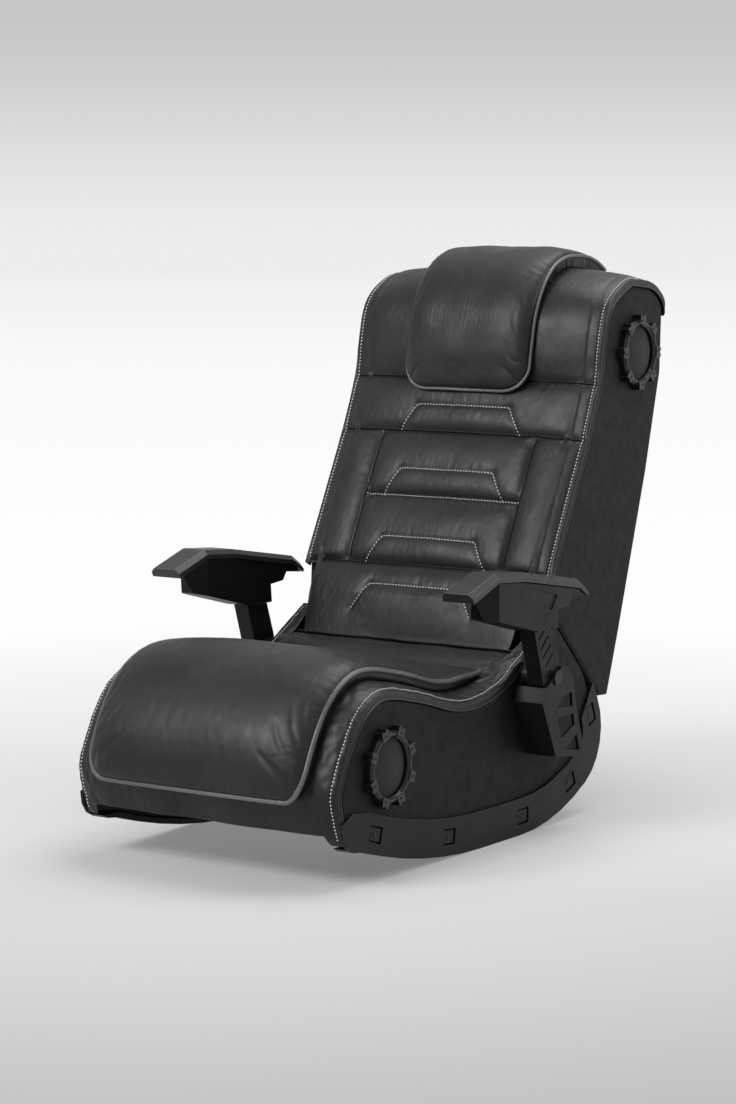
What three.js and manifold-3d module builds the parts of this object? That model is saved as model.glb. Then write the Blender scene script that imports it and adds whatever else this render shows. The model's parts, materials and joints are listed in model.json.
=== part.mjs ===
// A floor rocker chair with a folding backrest, flip-up arms and four speakers.
// Lengths are in millimetres and +Z is up. The sitter faces -Y, and the sitter's left is +X.
// Side views are drawn in (y, z). The seat's y starts at the fold axis, and its z at the floor.
// The backrest has its own frame: y leads rearwards from the fold axis, and z up along the back.
import * as THREE from "three";
import { mergeVertices } from "three/addons/utils/BufferGeometryUtils.js";
import Module from "manifold-3d";

const wasm = await Module();
wasm.setup();

// Overall sizes
const degree = Math.PI / 180;
const bodyWidth = 486;
const seatDepth = 622;
const foldHeight = 340;
const backLength = 620;
const backDepth = 219;
const reclineAngle = 24 * degree;
const panelThickness = 25;
const boardThickness = 12;
const rearThickness = 6;
const edgeRound = 7;
const fitGap = 0.3;
const softGap = 0.6;
const cutOverrun = 3;
const weldTolerance = 1e-3;

// Rocker rails: a flat land between two arcs, and a tight arc up to the diagonal split
const landFront = 224;
const landRear = 109;
const frontRadius = 1100;
const rearRadius = 430;
const endRadius = 100;
const rearArcAngle = 29 * degree;
const endArcAngle = 30 * degree;
const railSetback = 62;
const noseSetback = 7;
const noseHeight = 91;
const railHeight = 60;
const railFloor = 9;
const railProud = 5;
const tabLength = 34;
const tabHeight = 26;
const tabDepth = 5;
const tabHoleRadius = 4;
const tabPlaceShares = [0.035, 0.31, 0.6, 0.8, 0.985];

// Outlines, as shares of the seat's depth and the fold height, or of the back's depth and length
const seatEdgeShares = [
  [-0.965, 0.19],
  [-0.982, 0.268],
  [-1, 0.418],
  [-0.976, 0.538],
  [-0.934, 0.671],
  [-0.878, 0.779],
  [-0.791, 0.832],
  [-0.637, 0.782],
  [-0.476, 0.703],
  [-0.36, 0.694],
  [-0.24, 0.747],
  [-0.153, 0.844],
];
const backEdgeShares = [
  [-0.16, 0.108],
  [-0.1, 0.484],
  [-0.112, 0.648],
  [-0.164, 0.728],
  [-0.209, 0.823],
  [-0.156, 0.889],
  [0, 0.955],
  [0.11, 0.975],
  [0.34, 1],
  [0.5, 0.997],
  [0.6, 0.98],
];
const lumbarEndShares = [
  [-0.1, -0.146],
  [-0.215, -0.12],
];
const backRearShares = [
  [0.643, 0.961],
  [0.767, 0.799],
  [0.882, 0.526],
  [1, 0.087],
  [1.04, -0.103],
];
const splitEnd = 150;
const splitDrop = 149;

// Leather borders that roll over the side panels' edges, with sections at shares of their width
const borderDepth = 10;
const backBorderCrown = 6;
const borderSectionShares = [0, 0.3, 0.6, 0.85, 1];
const borderStartShare = 0.004;
const seatBorderEndShare = 0.978;
const edgeSteps = 22;

// Cushions
const sweepRadius = 103;
const seatCrown = 20;
const foamStartShare = 0.032;
const deckHeight = 176;
const padWidth = 400;
const padEdge = 17;
const padCrown = 16;
const padNose = 22;
const padCorner = 28;
const padNoseShare = 0.14;
const padDrape = 1;
const foamSteps = 18;
const padStartStep = 1.45;
const padEndStep = 16;
const backFoam = 20;
const backCrown = 15;
const channelDepth = 9;
const channelWidth = 11;
const bolsterPlace = 150;
const seamShares = [0.089, 0.29, 0.484, 0.64];
const wrapThickness = 42;
const pillowWidth = 248;
const pillowEdge = 10;
const pillowCrown = 27;
const pillowCorner = 45;
const pillowDrape = 1;
const pillowStartShare = 0.545;
const pillowEndShare = 0.965;

// Fold hinge
const leafThickness = 4;
const leafRadius = 17;
const leafLength = 78;
const leafWidth = 26;
const hingePinRadius = 5;
const hingeHeadRadius = 9;
const hingeHead = 3.5;

// Speakers
const grilleRadius = 45;
const ringRadius = 56;
const lugRadius = 63;
const lugWidth = 19;
const lugCount = 8;
const ringProud = 13;
const grilleDome = 6;
const driverRadius = 43;
const driverDepth = 46;
const magnetRadius = 27;
const speakerRoom = 4;
const seatSpeakerShares = [-0.789, 0.503];
const backSpeakerShares = [0.32, 0.794];
const wooferRadius = 62;
const wooferDepth = 58;
const wooferPlaceShare = 0.36;

// Arms: the flip axis is at pivotForward ahead of the fold axis
const armOffset = 38;
const armWidth = 52;
const armPadWidth = 57;
const pivotForward = 85;
const pivotHeight = 258;
const hubRadius = 24;
const armPinRadius = 7;
const armPinHead = 3;
const postWidth = 28;
const cheekThickness = 5;
const flangeThickness = 4;
const bracketDepth = 92;
const bracketDrop = 140;
const armLength = 270;
const armHeight = 188;
const armPadThickness = 15;
const armBevel = 8;
const beamBow = 40;
const grooveWidth = 3;
const grooveDepth = 2.5;
const ribCount = 4;
const ribDepth = 2.5;
const ribWidth = 4;
const ribLength = 30;
const recessDepth = 2;

// Arm outlines, as shares of its length and height
const armTopShares = [
  [-1, 0.867],
  [-0.707, 1],
  [-0.419, 0.968],
  [0.215, 0.82],
  [0.307, 0.74],
];
const beamShares = [
  [-0.84, 0.83],
  [-0.774, 0.622],
  [-0.25, 0.435],
  [-0.02, 0.435],
  [-0.03, 0.596],
  [0.1, 0.612],
  [0.137, 0.686],
  [0.29, 0.665],
];
const postShares = [
  [-0.23, 0.45],
  [-0.115, -0.053],
  [0.075, 0],
  [0.052, 0.133],
  [-0.022, 0.43],
  [-0.022, 0.6],
  [-0.23, 0.6],
];
const recessShares = [
  [-0.5, 0.72],
  [-0.1, 0.6],
  [-0.04, 0.72],
  [-0.36, 0.84],
];
const grooveShares = [0.14, 0.5, 0.86];

// Bracket outlines, as shares of its depth and drop from the flip axis
const cheekShares = [
  [-0.01, -0.914],
  [1, -1],
  [0.67, -0.386],
  [0.54, -0.03],
  [0.38, 0.09],
  [0.2, 0.12],
  [-0.34, -0.093],
  [-0.48, -0.257],
];
const windowShares = [
  [[0.52, -0.2], [0.55, -0.375], [0, -0.35], [0.24, -0.23]],
  [[0, -0.455], [0.58, -0.46], [0.62, -0.6], [0.17, -0.72]],
  [[0.7, -0.71], [0.8, -0.91], [0.27, -0.86]],
];
const coverShares = [
  [-0.34, -0.093],
  [-0.48, -0.257],
  [-0.01, -0.914],
  [0.05, -0.914],
  [-0.39, -0.27],
  [-0.28, -0.18],
  [-0.27, -0.093],
];
const footShares = [
  [-0.01, -0.914],
  [1, -1],
  [0.97, -0.955],
  [-0.01, -0.87],
];
const flangeShares = [
  [0, -0.88],
  [0.9, -0.94],
  [0.5, -0.3],
  [0.3, 0.1],
  [-0.1, 0.15],
  [-0.28, -0.1],
];

// Controls, on the sitter's right side
const controlPlaceShares = [-0.5, 0.395];
const plateLength = 132;
const plateHeight = 58;
const plateThickness = 3;
const knobRadius = 11;
const knobDepth = 13;
const shaftRadius = 3;
const knobFluteRadius = 2;
const knobFluteCount = 10;
const knobPitch = 30;
const buttonRadius = 7;
const buttonProud = 5;
const jackRadius = 4.2;
const jackBore = 1.6;
const jackProud = 8;
const jackPitch = 18;
const amplifierDepth = 74;

// Counts of facets
const roundFacets = 24;
const smallFacets = 12;
const fluteFacets = 6;
const curveFacets = 4;

const halfWidth = bodyWidth / 2;
const innerHalf = halfWidth - panelThickness;
const railReach = seatDepth - railSetback;
const noseReach = seatDepth - noseSetback;
const armCentre = halfWidth + armOffset;
const xAxis = new THREE.Vector3(1, 0, 0);
const yAxis = new THREE.Vector3(0, 1, 0);
const zAxis = new THREE.Vector3(0, 0, 1);

const finishes = {
  vinyl: { color: 0x1b1a1b, roughness: 0.75, metalness: 0 },
  leather: { color: 0x161515, roughness: 0.45, metalness: 0 },
  plastic: { color: 0x232425, roughness: 0.55, metalness: 0 },
  bezel: { color: 0x2b2d2f, roughness: 0.3, metalness: 0 },
  cloth: { color: 0x0c0c0d, roughness: 0.95, metalness: 0 },
  wood: { color: 0xa8875a, roughness: 0.8, metalness: 0 },
  steel: { color: 0x6d6f72, roughness: 0.4, metalness: 1 },
};

const point = (along, up) => new THREE.Vector2(along, up);
const scaled = (shares, width, height) => shares.map(([w, h]) => point(w * width, h * height));

function piece(name, geometry, finish, parent) {
  const mesh = new THREE.Mesh(geometry, new THREE.MeshStandardMaterial(finishes[finish]));
  mesh.name = name;
  parent.add(mesh);
  return mesh;
}

// The closed solid of a geometry, with its shared corners welded
function solidOf(geometry) {
  const bare = geometry.index ? geometry.toNonIndexed() : geometry.clone();
  bare.deleteAttribute("normal");
  bare.deleteAttribute("uv");
  const welded = mergeVertices(bare, weldTolerance);
  const corners = welded.index.array;
  const faces = [];
  for (let i = 0; i < corners.length; i += 3) {
    const [a, b, c] = [corners[i], corners[i + 1], corners[i + 2]];
    if (a !== b && b !== c && c !== a) faces.push(a, b, c);
  }
  return new wasm.Manifold(
    new wasm.Mesh({
      numProp: 3,
      vertProperties: welded.attributes.position.array,
      triVerts: new Uint32Array(faces),
    }),
  );
}

function geometryOf(solid) {
  const { vertProperties, triVerts } = solid.getMesh();
  const geometry = new THREE.BufferGeometry();
  geometry.setAttribute("position", new THREE.BufferAttribute(vertProperties, 3));
  geometry.setIndex(new THREE.BufferAttribute(triVerts, 1));
  geometry.computeVertexNormals();
  return geometry;
}

function joined(first, ...others) {
  return geometryOf(others.reduce((sum, next) => sum.add(solidOf(next)), solidOf(first)));
}

function cut(body, ...tools) {
  return geometryOf(tools.reduce((left, tool) => left.subtract(solidOf(tool)), solidOf(body)));
}

// A side-view outline extruded across the chair, from one x to the other
function across(shape, fromX, toX, round = 0, facets = curveFacets) {
  const geometry = new THREE.ExtrudeGeometry(shape, {
    depth: toX - fromX - 2 * round,
    curveSegments: facets,
    bevelEnabled: round > 0,
    bevelThickness: round,
    bevelSize: round,
    bevelOffset: -round,
    bevelSegments: 2,
  });
  geometry.applyMatrix4(new THREE.Matrix4().makeBasis(yAxis, zAxis, xAxis));
  return geometry.translate(fromX + round, 0, 0);
}

// A profile of [x, radius] pairs, turned about the x axis
function turned(profile, facets = roundFacets) {
  const points = profile.map(([x, radius]) => point(radius, x));
  return new THREE.LatheGeometry(points, facets).rotateZ(-Math.PI / 2);
}

function block(fromX, toX, fromY, toY, fromZ, toZ) {
  const geometry = new THREE.BoxGeometry(toX - fromX, toY - fromY, toZ - fromZ);
  return geometry.translate((fromX + toX) / 2, (fromY + toY) / 2, (fromZ + toZ) / 2);
}

// Closed side-view sections skinned from one x to the next, with both ends closed
function loft(stations, sectionAt) {
  const sections = stations.map((x) => sectionAt(x));
  if (THREE.ShapeUtils.isClockWise(sections[0])) sections.forEach((section) => section.reverse());
  const count = sections[0].length;
  const positions = [];
  const faces = [];
  sections.forEach((section, i) => {
    section.forEach((p) => positions.push(stations[i], p.x, p.y));
  });
  for (let i = 0; i + 1 < stations.length; i++) {
    for (let j = 0; j < count; j++) {
      const here = i * count + j;
      const next = i * count + ((j + 1) % count);
      faces.push(here, next, next + count);
      faces.push(here, next + count, here + count);
    }
  }
  const last = (stations.length - 1) * count;
  for (const [a, b, c] of THREE.ShapeUtils.triangulateShape(sections[0], [])) faces.push(c, b, a);
  for (const [a, b, c] of THREE.ShapeUtils.triangulateShape(sections.at(-1), [])) {
    faces.push(a + last, b + last, c + last);
  }
  const geometry = new THREE.BufferGeometry();
  geometry.setAttribute("position", new THREE.Float32BufferAttribute(positions, 3));
  geometry.setIndex(faces);
  geometry.computeVertexNormals();
  return geometry;
}

// The point that lies off a curve, on the side to the left of its travel
function off(curve, share, distance) {
  const at = curve.getPointAt(share);
  const along = curve.getTangentAt(share);
  return point(at.x - along.y * distance, at.y + along.x * distance);
}

// From 0 at either end of -1 to 1, up to 1 in the middle, with full shoulders
const swell = (t) => Math.sqrt(Math.max(0, 1 - t ** 4));
const dome = (t) => Math.max(0, 1 - t * t);
const spread = (half, count) =>
  Array.from({ length: 2 * count + 1 }, (_, i) => half * Math.sin((Math.PI / 2) * (i / count - 1)));

// The rocker's under-line at an inset from the floor side, from the nose to the diagonal split
function rockerLine(inset) {
  const points = [];
  const frontAngle = Math.asin((railReach - landFront) / frontRadius);
  const frontSteps = 6;
  for (let i = 0; i <= frontSteps; i++) {
    const angle = frontAngle * (1 - i / frontSteps);
    const radius = frontRadius - inset;
    points.push(point(-landFront - radius * Math.sin(angle), frontRadius - radius * Math.cos(angle)));
  }
  const landEnd = -landRear;
  const rearSteps = 5;
  for (let i = 0; i <= rearSteps; i++) {
    const angle = (rearArcAngle * i) / rearSteps;
    const radius = rearRadius - inset;
    points.push(point(landEnd + radius * Math.sin(angle), rearRadius - radius * Math.cos(angle)));
  }
  const reach = rearRadius - endRadius;
  const endCentre = point(
    landEnd + reach * Math.sin(rearArcAngle),
    rearRadius - reach * Math.cos(rearArcAngle),
  );
  const endSteps = 6;
  const radius = endRadius - inset;
  const startAngle = rearArcAngle - Math.PI / 2;
  for (let i = 1; i <= endSteps; i++) {
    const angle = startAngle + ((endArcAngle - startAngle) * i) / endSteps;
    points.push(point(endCentre.x + radius * Math.cos(angle), endCentre.y + radius * Math.sin(angle)));
  }
  const last = points.at(-1);
  const slope = splitDrop / splitEnd;
  const drop = foldHeight - fitGap - last.y - slope * last.x;
  const run = drop / (Math.cos(endArcAngle) - slope * Math.sin(endArcAngle));
  points.push(point(last.x - run * Math.sin(endArcAngle), last.y + run * Math.cos(endArcAngle)));
  return points;
}

const seatEdge = new THREE.SplineCurve(scaled(seatEdgeShares, seatDepth, foldHeight));
const seatRim = new THREE.SplineCurve([...seatEdge.points, point(0, foldHeight)]);
const backEdgePoints = scaled(backEdgeShares, backDepth, backLength);
const backEdge = new THREE.SplineCurve(backEdgePoints);
const lumbarEnd = scaled(lumbarEndShares, backDepth, backLength);
const backFace = new THREE.SplineCurve([lumbarEnd[1], ...backEdgePoints]);
const splitSlope = splitDrop / splitEnd;
const splitHeight = (y) => foldHeight - fitGap - splitSlope * y;
const seatSpeaker = scaled([seatSpeakerShares], seatDepth, foldHeight)[0];
const backSpeaker = scaled([backSpeakerShares], backDepth, backLength)[0];
const controlPlace = scaled([controlPlaceShares], seatDepth, foldHeight)[0];

const chair = new THREE.Group();
const seat = new THREE.Group();
const back = new THREE.Group();
back.position.z = foldHeight;
back.rotation.x = -reclineAngle;
seat.add(back);
chair.add(seat);

// Clears a round hole across the chair, about a place in the side view
function bore(place, radius, fromX, toX, facets = roundFacets) {
  const rod = turned([[fromX, 0], [fromX, radius], [toX, radius], [toX, 0]], facets);
  return rod.translate(0, place.x, place.y);
}

// Rocker rail: a curved channel that the side panel stands in, with recessed screw tabs
function railGeometry() {
  const outer = rockerLine(0);
  const inner = rockerLine(railHeight).slice(0, -1);
  const shape = new THREE.Shape();
  const nose = point(-noseReach, noseHeight + railFloor);
  shape.moveTo(nose.x, nose.y);
  shape.quadraticCurveTo(nose.x, outer[0].y, outer[0].x, outer[0].y);
  outer.slice(1).forEach((p) => shape.lineTo(p.x, p.y));
  inner.reverse().forEach((p) => shape.lineTo(p.x, p.y));
  shape.lineTo(nose.x + railHeight / 2, nose.y + railHeight / 4);
  const body = across(shape, innerHalf, halfWidth + railProud);
  const floor = rockerLine(railFloor);
  const room = rockerLine(railHeight + cutOverrun).slice(0, -1);
  const pocket = new THREE.Shape();
  pocket.moveTo(-noseReach - cutOverrun, floor[0].y);
  pocket.lineTo(floor[0].x, floor[0].y);
  floor.slice(1).forEach((p) => pocket.lineTo(p.x, p.y));
  pocket.lineTo(floor.at(-1).x - cutOverrun, floor.at(-1).y + cutOverrun);
  room.reverse().forEach((p) => pocket.lineTo(p.x, p.y));
  pocket.lineTo(nose.x - cutOverrun, nose.y + railHeight);
  const tools = [across(pocket, innerHalf - cutOverrun, halfWidth + fitGap)];
  const middle = new THREE.SplineCurve(rockerLine(railHeight / 2).slice(0, -1));
  for (const share of tabPlaceShares) {
    const at = middle.getPointAt(share);
    const angle = middle.getTangentAt(share).angle();
    const outside = halfWidth + railProud;
    const tab = block(
      outside - tabDepth, outside + cutOverrun, -tabLength / 2, tabLength / 2, -tabHeight / 2, tabHeight / 2,
    );
    tools.push(tab.rotateX(angle).translate(0, at.x, at.y));
    tools.push(bore(at, tabHoleRadius, halfWidth, outside, smallFacets));
  }
  return cut(body, ...tools);
}

// An edge set in by the border's depth, from its last end to its first
function inset(edge) {
  return Array.from({ length: edgeSteps + 1 }, (_, i) => off(edge, 1 - i / edgeSteps, -borderDepth));
}

// Leather border along a side panel's edge, rolled from the cushion to the seam
function borderGeometry(edge, endShare, riseAt) {
  const stations = borderSectionShares.map((share) => innerHalf + share * panelThickness);
  const inner = Array.from({ length: edgeSteps - 1 }, (_, i) => (i + 1) / edgeSteps);
  return loft(stations, (x) => {
    const out = (x - innerHalf) / panelThickness;
    const start = foamStartShare * (1 - out) + borderStartShare * out;
    const shares = [start, ...inner, endShare];
    const under = shares.map((share) => off(edge, share, softGap - borderDepth));
    const over = shares.map((share) => off(edge, share, riseAt(x, share)));
    return [...under, ...over.reverse()];
  });
}

// The upholstered side of the seat, up to the wing that the backrest folds against
function seatSideGeometry(side) {
  const shape = new THREE.Shape();
  const foot = rockerLine(railFloor + fitGap);
  shape.moveTo(foot[0].x, foot[0].y);
  foot.slice(1, -1).forEach((p) => shape.lineTo(p.x, p.y));
  const corner = foot.at(-1);
  const cornerY = corner.x - softGap;
  shape.lineTo(cornerY, splitHeight(cornerY) - softGap);
  const rim = inset(seatRim);
  shape.lineTo((foldHeight - softGap - rim[0].y) / splitSlope, rim[0].y);
  rim.slice(1).forEach((p) => shape.lineTo(p.x, p.y));
  const body = across(shape, innerHalf, halfWidth, edgeRound);
  const tools = [bore(seatSpeaker, driverRadius + fitGap, innerHalf - cutOverrun, halfWidth + cutOverrun)];
  if (side < 0) {
    const window = halfPlate();
    tools.push(
      block(
        innerHalf - cutOverrun, halfWidth + cutOverrun,
        controlPlace.x - window.x - fitGap, controlPlace.x + window.x + fitGap,
        controlPlace.y - window.y - fitGap, controlPlace.y + window.y + fitGap,
      ),
    );
  }
  return cut(body, ...tools);
}

// Half of the window that the amplifier passes through, inside the control plate's border
function halfPlate() {
  const border = plateThickness * 3;
  return point(plateLength / 2 - border, plateHeight / 2 - border);
}

// The upholstered side of the backrest, with its foot on the diagonal split
function backSideGeometry() {
  const shape = new THREE.Shape();
  const splitAngle = -Math.atan(splitSlope) + reclineAngle;
  const heel = scaled(backRearShares, backDepth, backLength).at(-1);
  const footLength = splitEnd * Math.SQRT2;
  const toe = point(Math.cos(splitAngle) * footLength, Math.sin(splitAngle) * footLength);
  shape.moveTo(-softGap, softGap);
  shape.lineTo(toe.x, toe.y + softGap);
  shape.lineTo(heel.x, heel.y);
  scaled(backRearShares, backDepth, backLength).slice(1, -1).reverse().forEach((p) => shape.lineTo(p.x, p.y));
  inset(backEdge).forEach((p) => shape.lineTo(p.x, p.y));
  const body = across(shape, innerHalf, halfWidth, edgeRound);
  return cut(body, bore(backSpeaker, driverRadius + fitGap, innerHalf - cutOverrun, halfWidth + cutOverrun));
}

const driverRoom = (place, side) => {
  const inner = innerHalf - driverDepth;
  const radius = driverRadius + speakerRoom;
  return side > 0
    ? bore(place, radius, inner, bodyWidth, smallFacets)
    : bore(place, radius, -bodyWidth, -inner, smallFacets);
};

// How far the seat's leather stands proud of the side panels' edge
const seatRise = (x, share) => seatCrown * swell(x / halfWidth) * swell(2 * share - 1);

// A foam step as a share of the seat's edge, above the nose's lower corner
const foamShare = (step) => foamStartShare + ((1 - foamStartShare) * step) / foamSteps;

// Foam of the seat: nose, saddle and the hollow that the folding lumbar end swings through
function seatFoamGeometry() {
  const half = innerHalf - softGap;
  const outline = Array.from({ length: foamSteps + 1 }, (_, i) => foamShare(i));
  const boardFace = -seatDepth + boardThickness * 2;
  const arcStart = Math.PI + Math.atan2(1 - seatEdgeShares.at(-1)[1], -seatEdgeShares.at(-1)[0]) * 1.12;
  const hollow = [0.15, 0.5, 1].map((share) => {
    const angle = arcStart + share * Math.PI * 0.12;
    return point(sweepRadius * Math.cos(angle), foldHeight + sweepRadius * Math.sin(angle));
  });
  const geometry = loft(spread(half, 5), (x) => {
    const top = outline.map((share) => off(seatEdge, share, seatRise(x, share)));
    return [
      ...top,
      ...hollow,
      point(hollow[2].x, deckHeight + fitGap),
      point(boardFace - fitGap, deckHeight + fitGap),
      point(boardFace - fitGap, noseHeight),
    ];
  });
  return cut(geometry, driverRoom(seatSpeaker, 1), driverRoom(seatSpeaker, -1), leafRoom(1), leafRoom(-1));
}

// Room beside the fold axis for the hinge leaves and their pin
function leafRoom(side) {
  const inner = innerHalf - 2 * leafThickness - 2 * fitGap - hingeHead - softGap;
  const reach = leafLength + leafRadius;
  const drum = side > 0 ? [inner, bodyWidth] : [-bodyWidth, -inner];
  return bore(point(0, foldHeight), reach, ...drum, roundFacets);
}

// How far a rounded corner runs back, at a distance past the corner's start
function cornerRun(past, radius) {
  return past > 0 ? radius - Math.sqrt(Math.max(0, radius ** 2 - past ** 2)) : 0;
}

// Piped pad on the seat: drawn in along its edge, crowned in the middle, hung over the nose
function seatPadGeometry() {
  const half = padWidth / 2;
  const foamHalf = innerHalf - softGap;
  const edgeShares = [0.25, 0.55];
  const firstStep = Math.round(padStartStep + edgeShares[1]) + 1;
  const steps = [
    padStartStep,
    ...edgeShares.map((share) => padStartStep + share),
    ...Array.from({ length: padEndStep - firstStep }, (_, i) => firstStep + i),
    ...edgeShares.map((share) => padEndStep - share).reverse(),
    padEndStep,
  ];
  const inside = spread(foamHalf, 5).filter((x) => Math.abs(x) < half - padCorner / 2);
  const cornerShares = [0.62, 0.9, 1];
  const rim = cornerShares.map((share) => half - padCorner * (1 - share)).flatMap((x) => [x, -x]);
  const stations = [...inside, ...rim].sort((a, b) => a - b);
  return loft(stations, (x) => {
    const under = [];
    const over = [];
    const run = cornerRun(Math.abs(x) - half + padCorner, padCorner) / (seatEdge.getLength() / foamSteps);
    for (const step of steps) {
      const at = foamShare(step + run * Math.max(0, 1 - (step - padStartStep) / 3));
      const along = (2 * (step - padStartStep)) / (padEndStep - padStartStep) - 1;
      const base = seatRise(x, at) + padDrape;
      const crown = padCrown + padNose * Math.exp(-(((at - padNoseShare) / padNoseShare) ** 2));
      under.push(off(seatEdge, at, base));
      over.push(off(seatEdge, at, base + padEdge + crown * swell(x / half) * swell(along)));
    }
    return [...under, ...over.reverse()];
  });
}

// Where the back's face reaches each seam's height, as an arc length from its lower end
function seamPlaces() {
  const length = backFace.getLength();
  const steps = 300;
  return seamShares.map((share) => {
    let i = 0;
    while (i < steps && backFace.getPointAt(i / steps).y < share * backLength) i++;
    return (i / steps) * length;
  });
}
const seams = seamPlaces();

// How far the back cushion stands proud of the side panels' edge
function backRise(x, distance, length) {
  const half = innerHalf - softGap;
  const start = Math.min(1, distance / (backLength * 0.12));
  let rise = backCrown * dome(x / half) ** 0.5 * start;
  const groove = (gap) => channelDepth * Math.exp(-((gap / channelWidth) ** 2));
  for (const seam of seams) rise -= groove(distance - seam);
  const inside = distance > seams[0] && distance < seams[2];
  if (inside) rise -= groove(Math.abs(x) - bolsterPlace);
  return Math.max(rise, -channelDepth) * Math.min(1, (length - distance) / channelWidth);
}

// Arc lengths along the back cushion's face where its section has a point
function backStops(length) {
  const stops = [0, seams[0] / 2];
  seams.forEach((seam, i) => {
    stops.push(seam - channelWidth * 1.5, seam, seam + channelWidth * 1.5);
    const next = seams[i + 1] ?? length - wrapThickness * 4;
    stops.push(seam + (next - seam) * 0.36, seam + (next - seam) * 0.64);
  });
  const after = seams.at(-1) + (length - wrapThickness * 4 - seams.at(-1)) * 0.85;
  const tail = 7;
  for (let i = 0; i <= tail; i++) stops.push(after + ((length - after) * i) / tail);
  return stops;
}

// One cushion from the seat's crease up the back and over its top, with the sewn channels
function backCushionGeometry() {
  const half = innerHalf - softGap;
  const length = backFace.getLength();
  const stops = backStops(length);
  const beside = channelWidth * 1.4;
  const right = [half * 0.3, bolsterPlace - beside, bolsterPlace, bolsterPlace + beside, half * 0.93, half];
  const stations = [...right.map((x) => -x).reverse(), 0, ...right];
  const wrapEnd = backEdgePoints.at(-1);
  const wrapLine = wrapEnd.y - wrapThickness;
  const geometry = loft(stations, (x) => {
    const face = stops.map((stop) => off(backFace, stop / length, backRise(x, stop, length)));
    return [
      lumbarEnd[0],
      ...face,
      point(wrapEnd.x, wrapLine),
      point(backFoam, wrapLine),
      point(backFoam, lumbarEnd[0].y / 2),
    ];
  });
  const shifted = (side) => leafRoom(side).translate(0, 0, -foldHeight);
  return cut(geometry, driverRoom(backSpeaker, 1), driverRoom(backSpeaker, -1), shifted(1), shifted(-1));
}

// Headrest pillow, hung over the top of the backrest
function pillowGeometry() {
  const half = pillowWidth / 2;
  const length = backFace.getLength();
  const start = pillowStartShare * length;
  const end = pillowEndShare * length;
  const lead = pillowEdge / 2;
  const inner = backStops(length).filter((stop) => stop > start + lead * 4 && stop < end - lead * 4);
  const stops = [start, start + lead, start + lead * 3, ...inner, end - lead * 3, end - lead, end];
  const inside = spread(half, 5).filter((x) => Math.abs(x) < half - pillowCorner * 0.7);
  const cornerShares = [0.4, 0.75, 0.93, 1];
  const rim = cornerShares.map((share) => half - pillowCorner * (1 - share)).flatMap((x) => [x, -x]);
  return loft([...inside, ...rim].sort((a, b) => a - b), (x) => {
    const under = [];
    const over = [];
    const run = cornerRun(Math.abs(x) - half + pillowCorner, pillowCorner);
    for (const stop of stops) {
      const share = (stop - start) / (end - start);
      const at = (stop + run * Math.max(0, 1 - (stop - start) / (pillowCorner * 2))) / length;
      const base = backCrown + pillowDrape;
      const fall = 1 - 0.45 * share ** 3;
      const crown = pillowCrown * fall * swell(x / half) * swell(2 * share - 1);
      under.push(off(backFace, at, base));
      over.push(off(backFace, at, base + pillowEdge + crown));
    }
    return [...under, ...over.reverse()];
  });
}

// One leaf of the fold hinge: an eye on the axis, and a tail that runs away from it
function leafGeometry(fromX, toX, tailAngle, footTo) {
  const centre = point(0, 0);
  const half = leafWidth / 2;
  const eye = bore(centre, leafRadius, fromX, toX);
  const tail = block(fromX, toX, -half, half, 0, leafLength).rotateX(tailAngle);
  const foot = block(fromX, footTo, -half, half, leafLength * 0.4, leafLength).rotateX(tailAngle);
  const hole = bore(centre, hingePinRadius + fitGap, fromX - cutOverrun, toX + cutOverrun, smallFacets);
  return cut(joined(eye, tail, foot), hole);
}

// Bezel with bracket-shaped lugs round its rim
function speakerRingGeometry() {
  const lip = 4;
  const inner = halfWidth + fitGap;
  const top = halfWidth + ringProud;
  const ring = turned([
    [inner, grilleRadius + fitGap],
    [inner, ringRadius],
    [top - lip, ringRadius],
    [top, ringRadius - lip],
    [top, grilleRadius + lip],
    [top - lip, grilleRadius + fitGap],
    [inner, grilleRadius + fitGap],
  ]);
  const lugs = Array.from({ length: lugCount }, (_, i) => {
    const lug = new THREE.Shape();
    const half = lugWidth / 2;
    lug.moveTo(-half, ringRadius - lip * 2);
    lug.lineTo(-half * 0.8, lugRadius);
    lug.lineTo(-half * 0.35, lugRadius);
    lug.lineTo(-half * 0.25, lugRadius - lip * 0.6);
    lug.lineTo(half * 0.25, lugRadius - lip * 0.6);
    lug.lineTo(half * 0.35, lugRadius);
    lug.lineTo(half * 0.8, lugRadius);
    lug.lineTo(half, ringRadius - lip * 2);
    return across(lug, inner, top + lip * 0.4).rotateX(((i + 0.5) * 2 * Math.PI) / lugCount);
  });
  return joined(ring, ...lugs);
}

// Domed cloth grille inside the bezel
function grilleGeometry() {
  const rim = halfWidth + fitGap + plateThickness;
  const steps = 4;
  const profile = [[rim - plateThickness, 0], [rim - plateThickness, grilleRadius]];
  for (let i = 0; i <= steps; i++) {
    const share = 1 - i / steps;
    profile.push([rim + grilleDome * dome(share), grilleRadius * share]);
  }
  return turned(profile);
}

// Driver in the side panel's hole: basket, cone and magnet in one turned body
function driverGeometry() {
  const front = halfWidth - fitGap;
  const wall = 4;
  return turned(
    [
      [front - driverDepth, 0],
      [front - driverDepth, magnetRadius],
      [front - driverDepth * 0.62, magnetRadius],
      [front - driverDepth * 0.55, driverRadius * 0.72],
      [front - driverDepth * 0.2, driverRadius],
      [front, driverRadius],
      [front, driverRadius - wall],
      [front - driverDepth * 0.36, driverRadius * 0.34],
      [front - driverDepth * 0.3, 0],
    ],
    roundFacets,
  );
}

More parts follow.
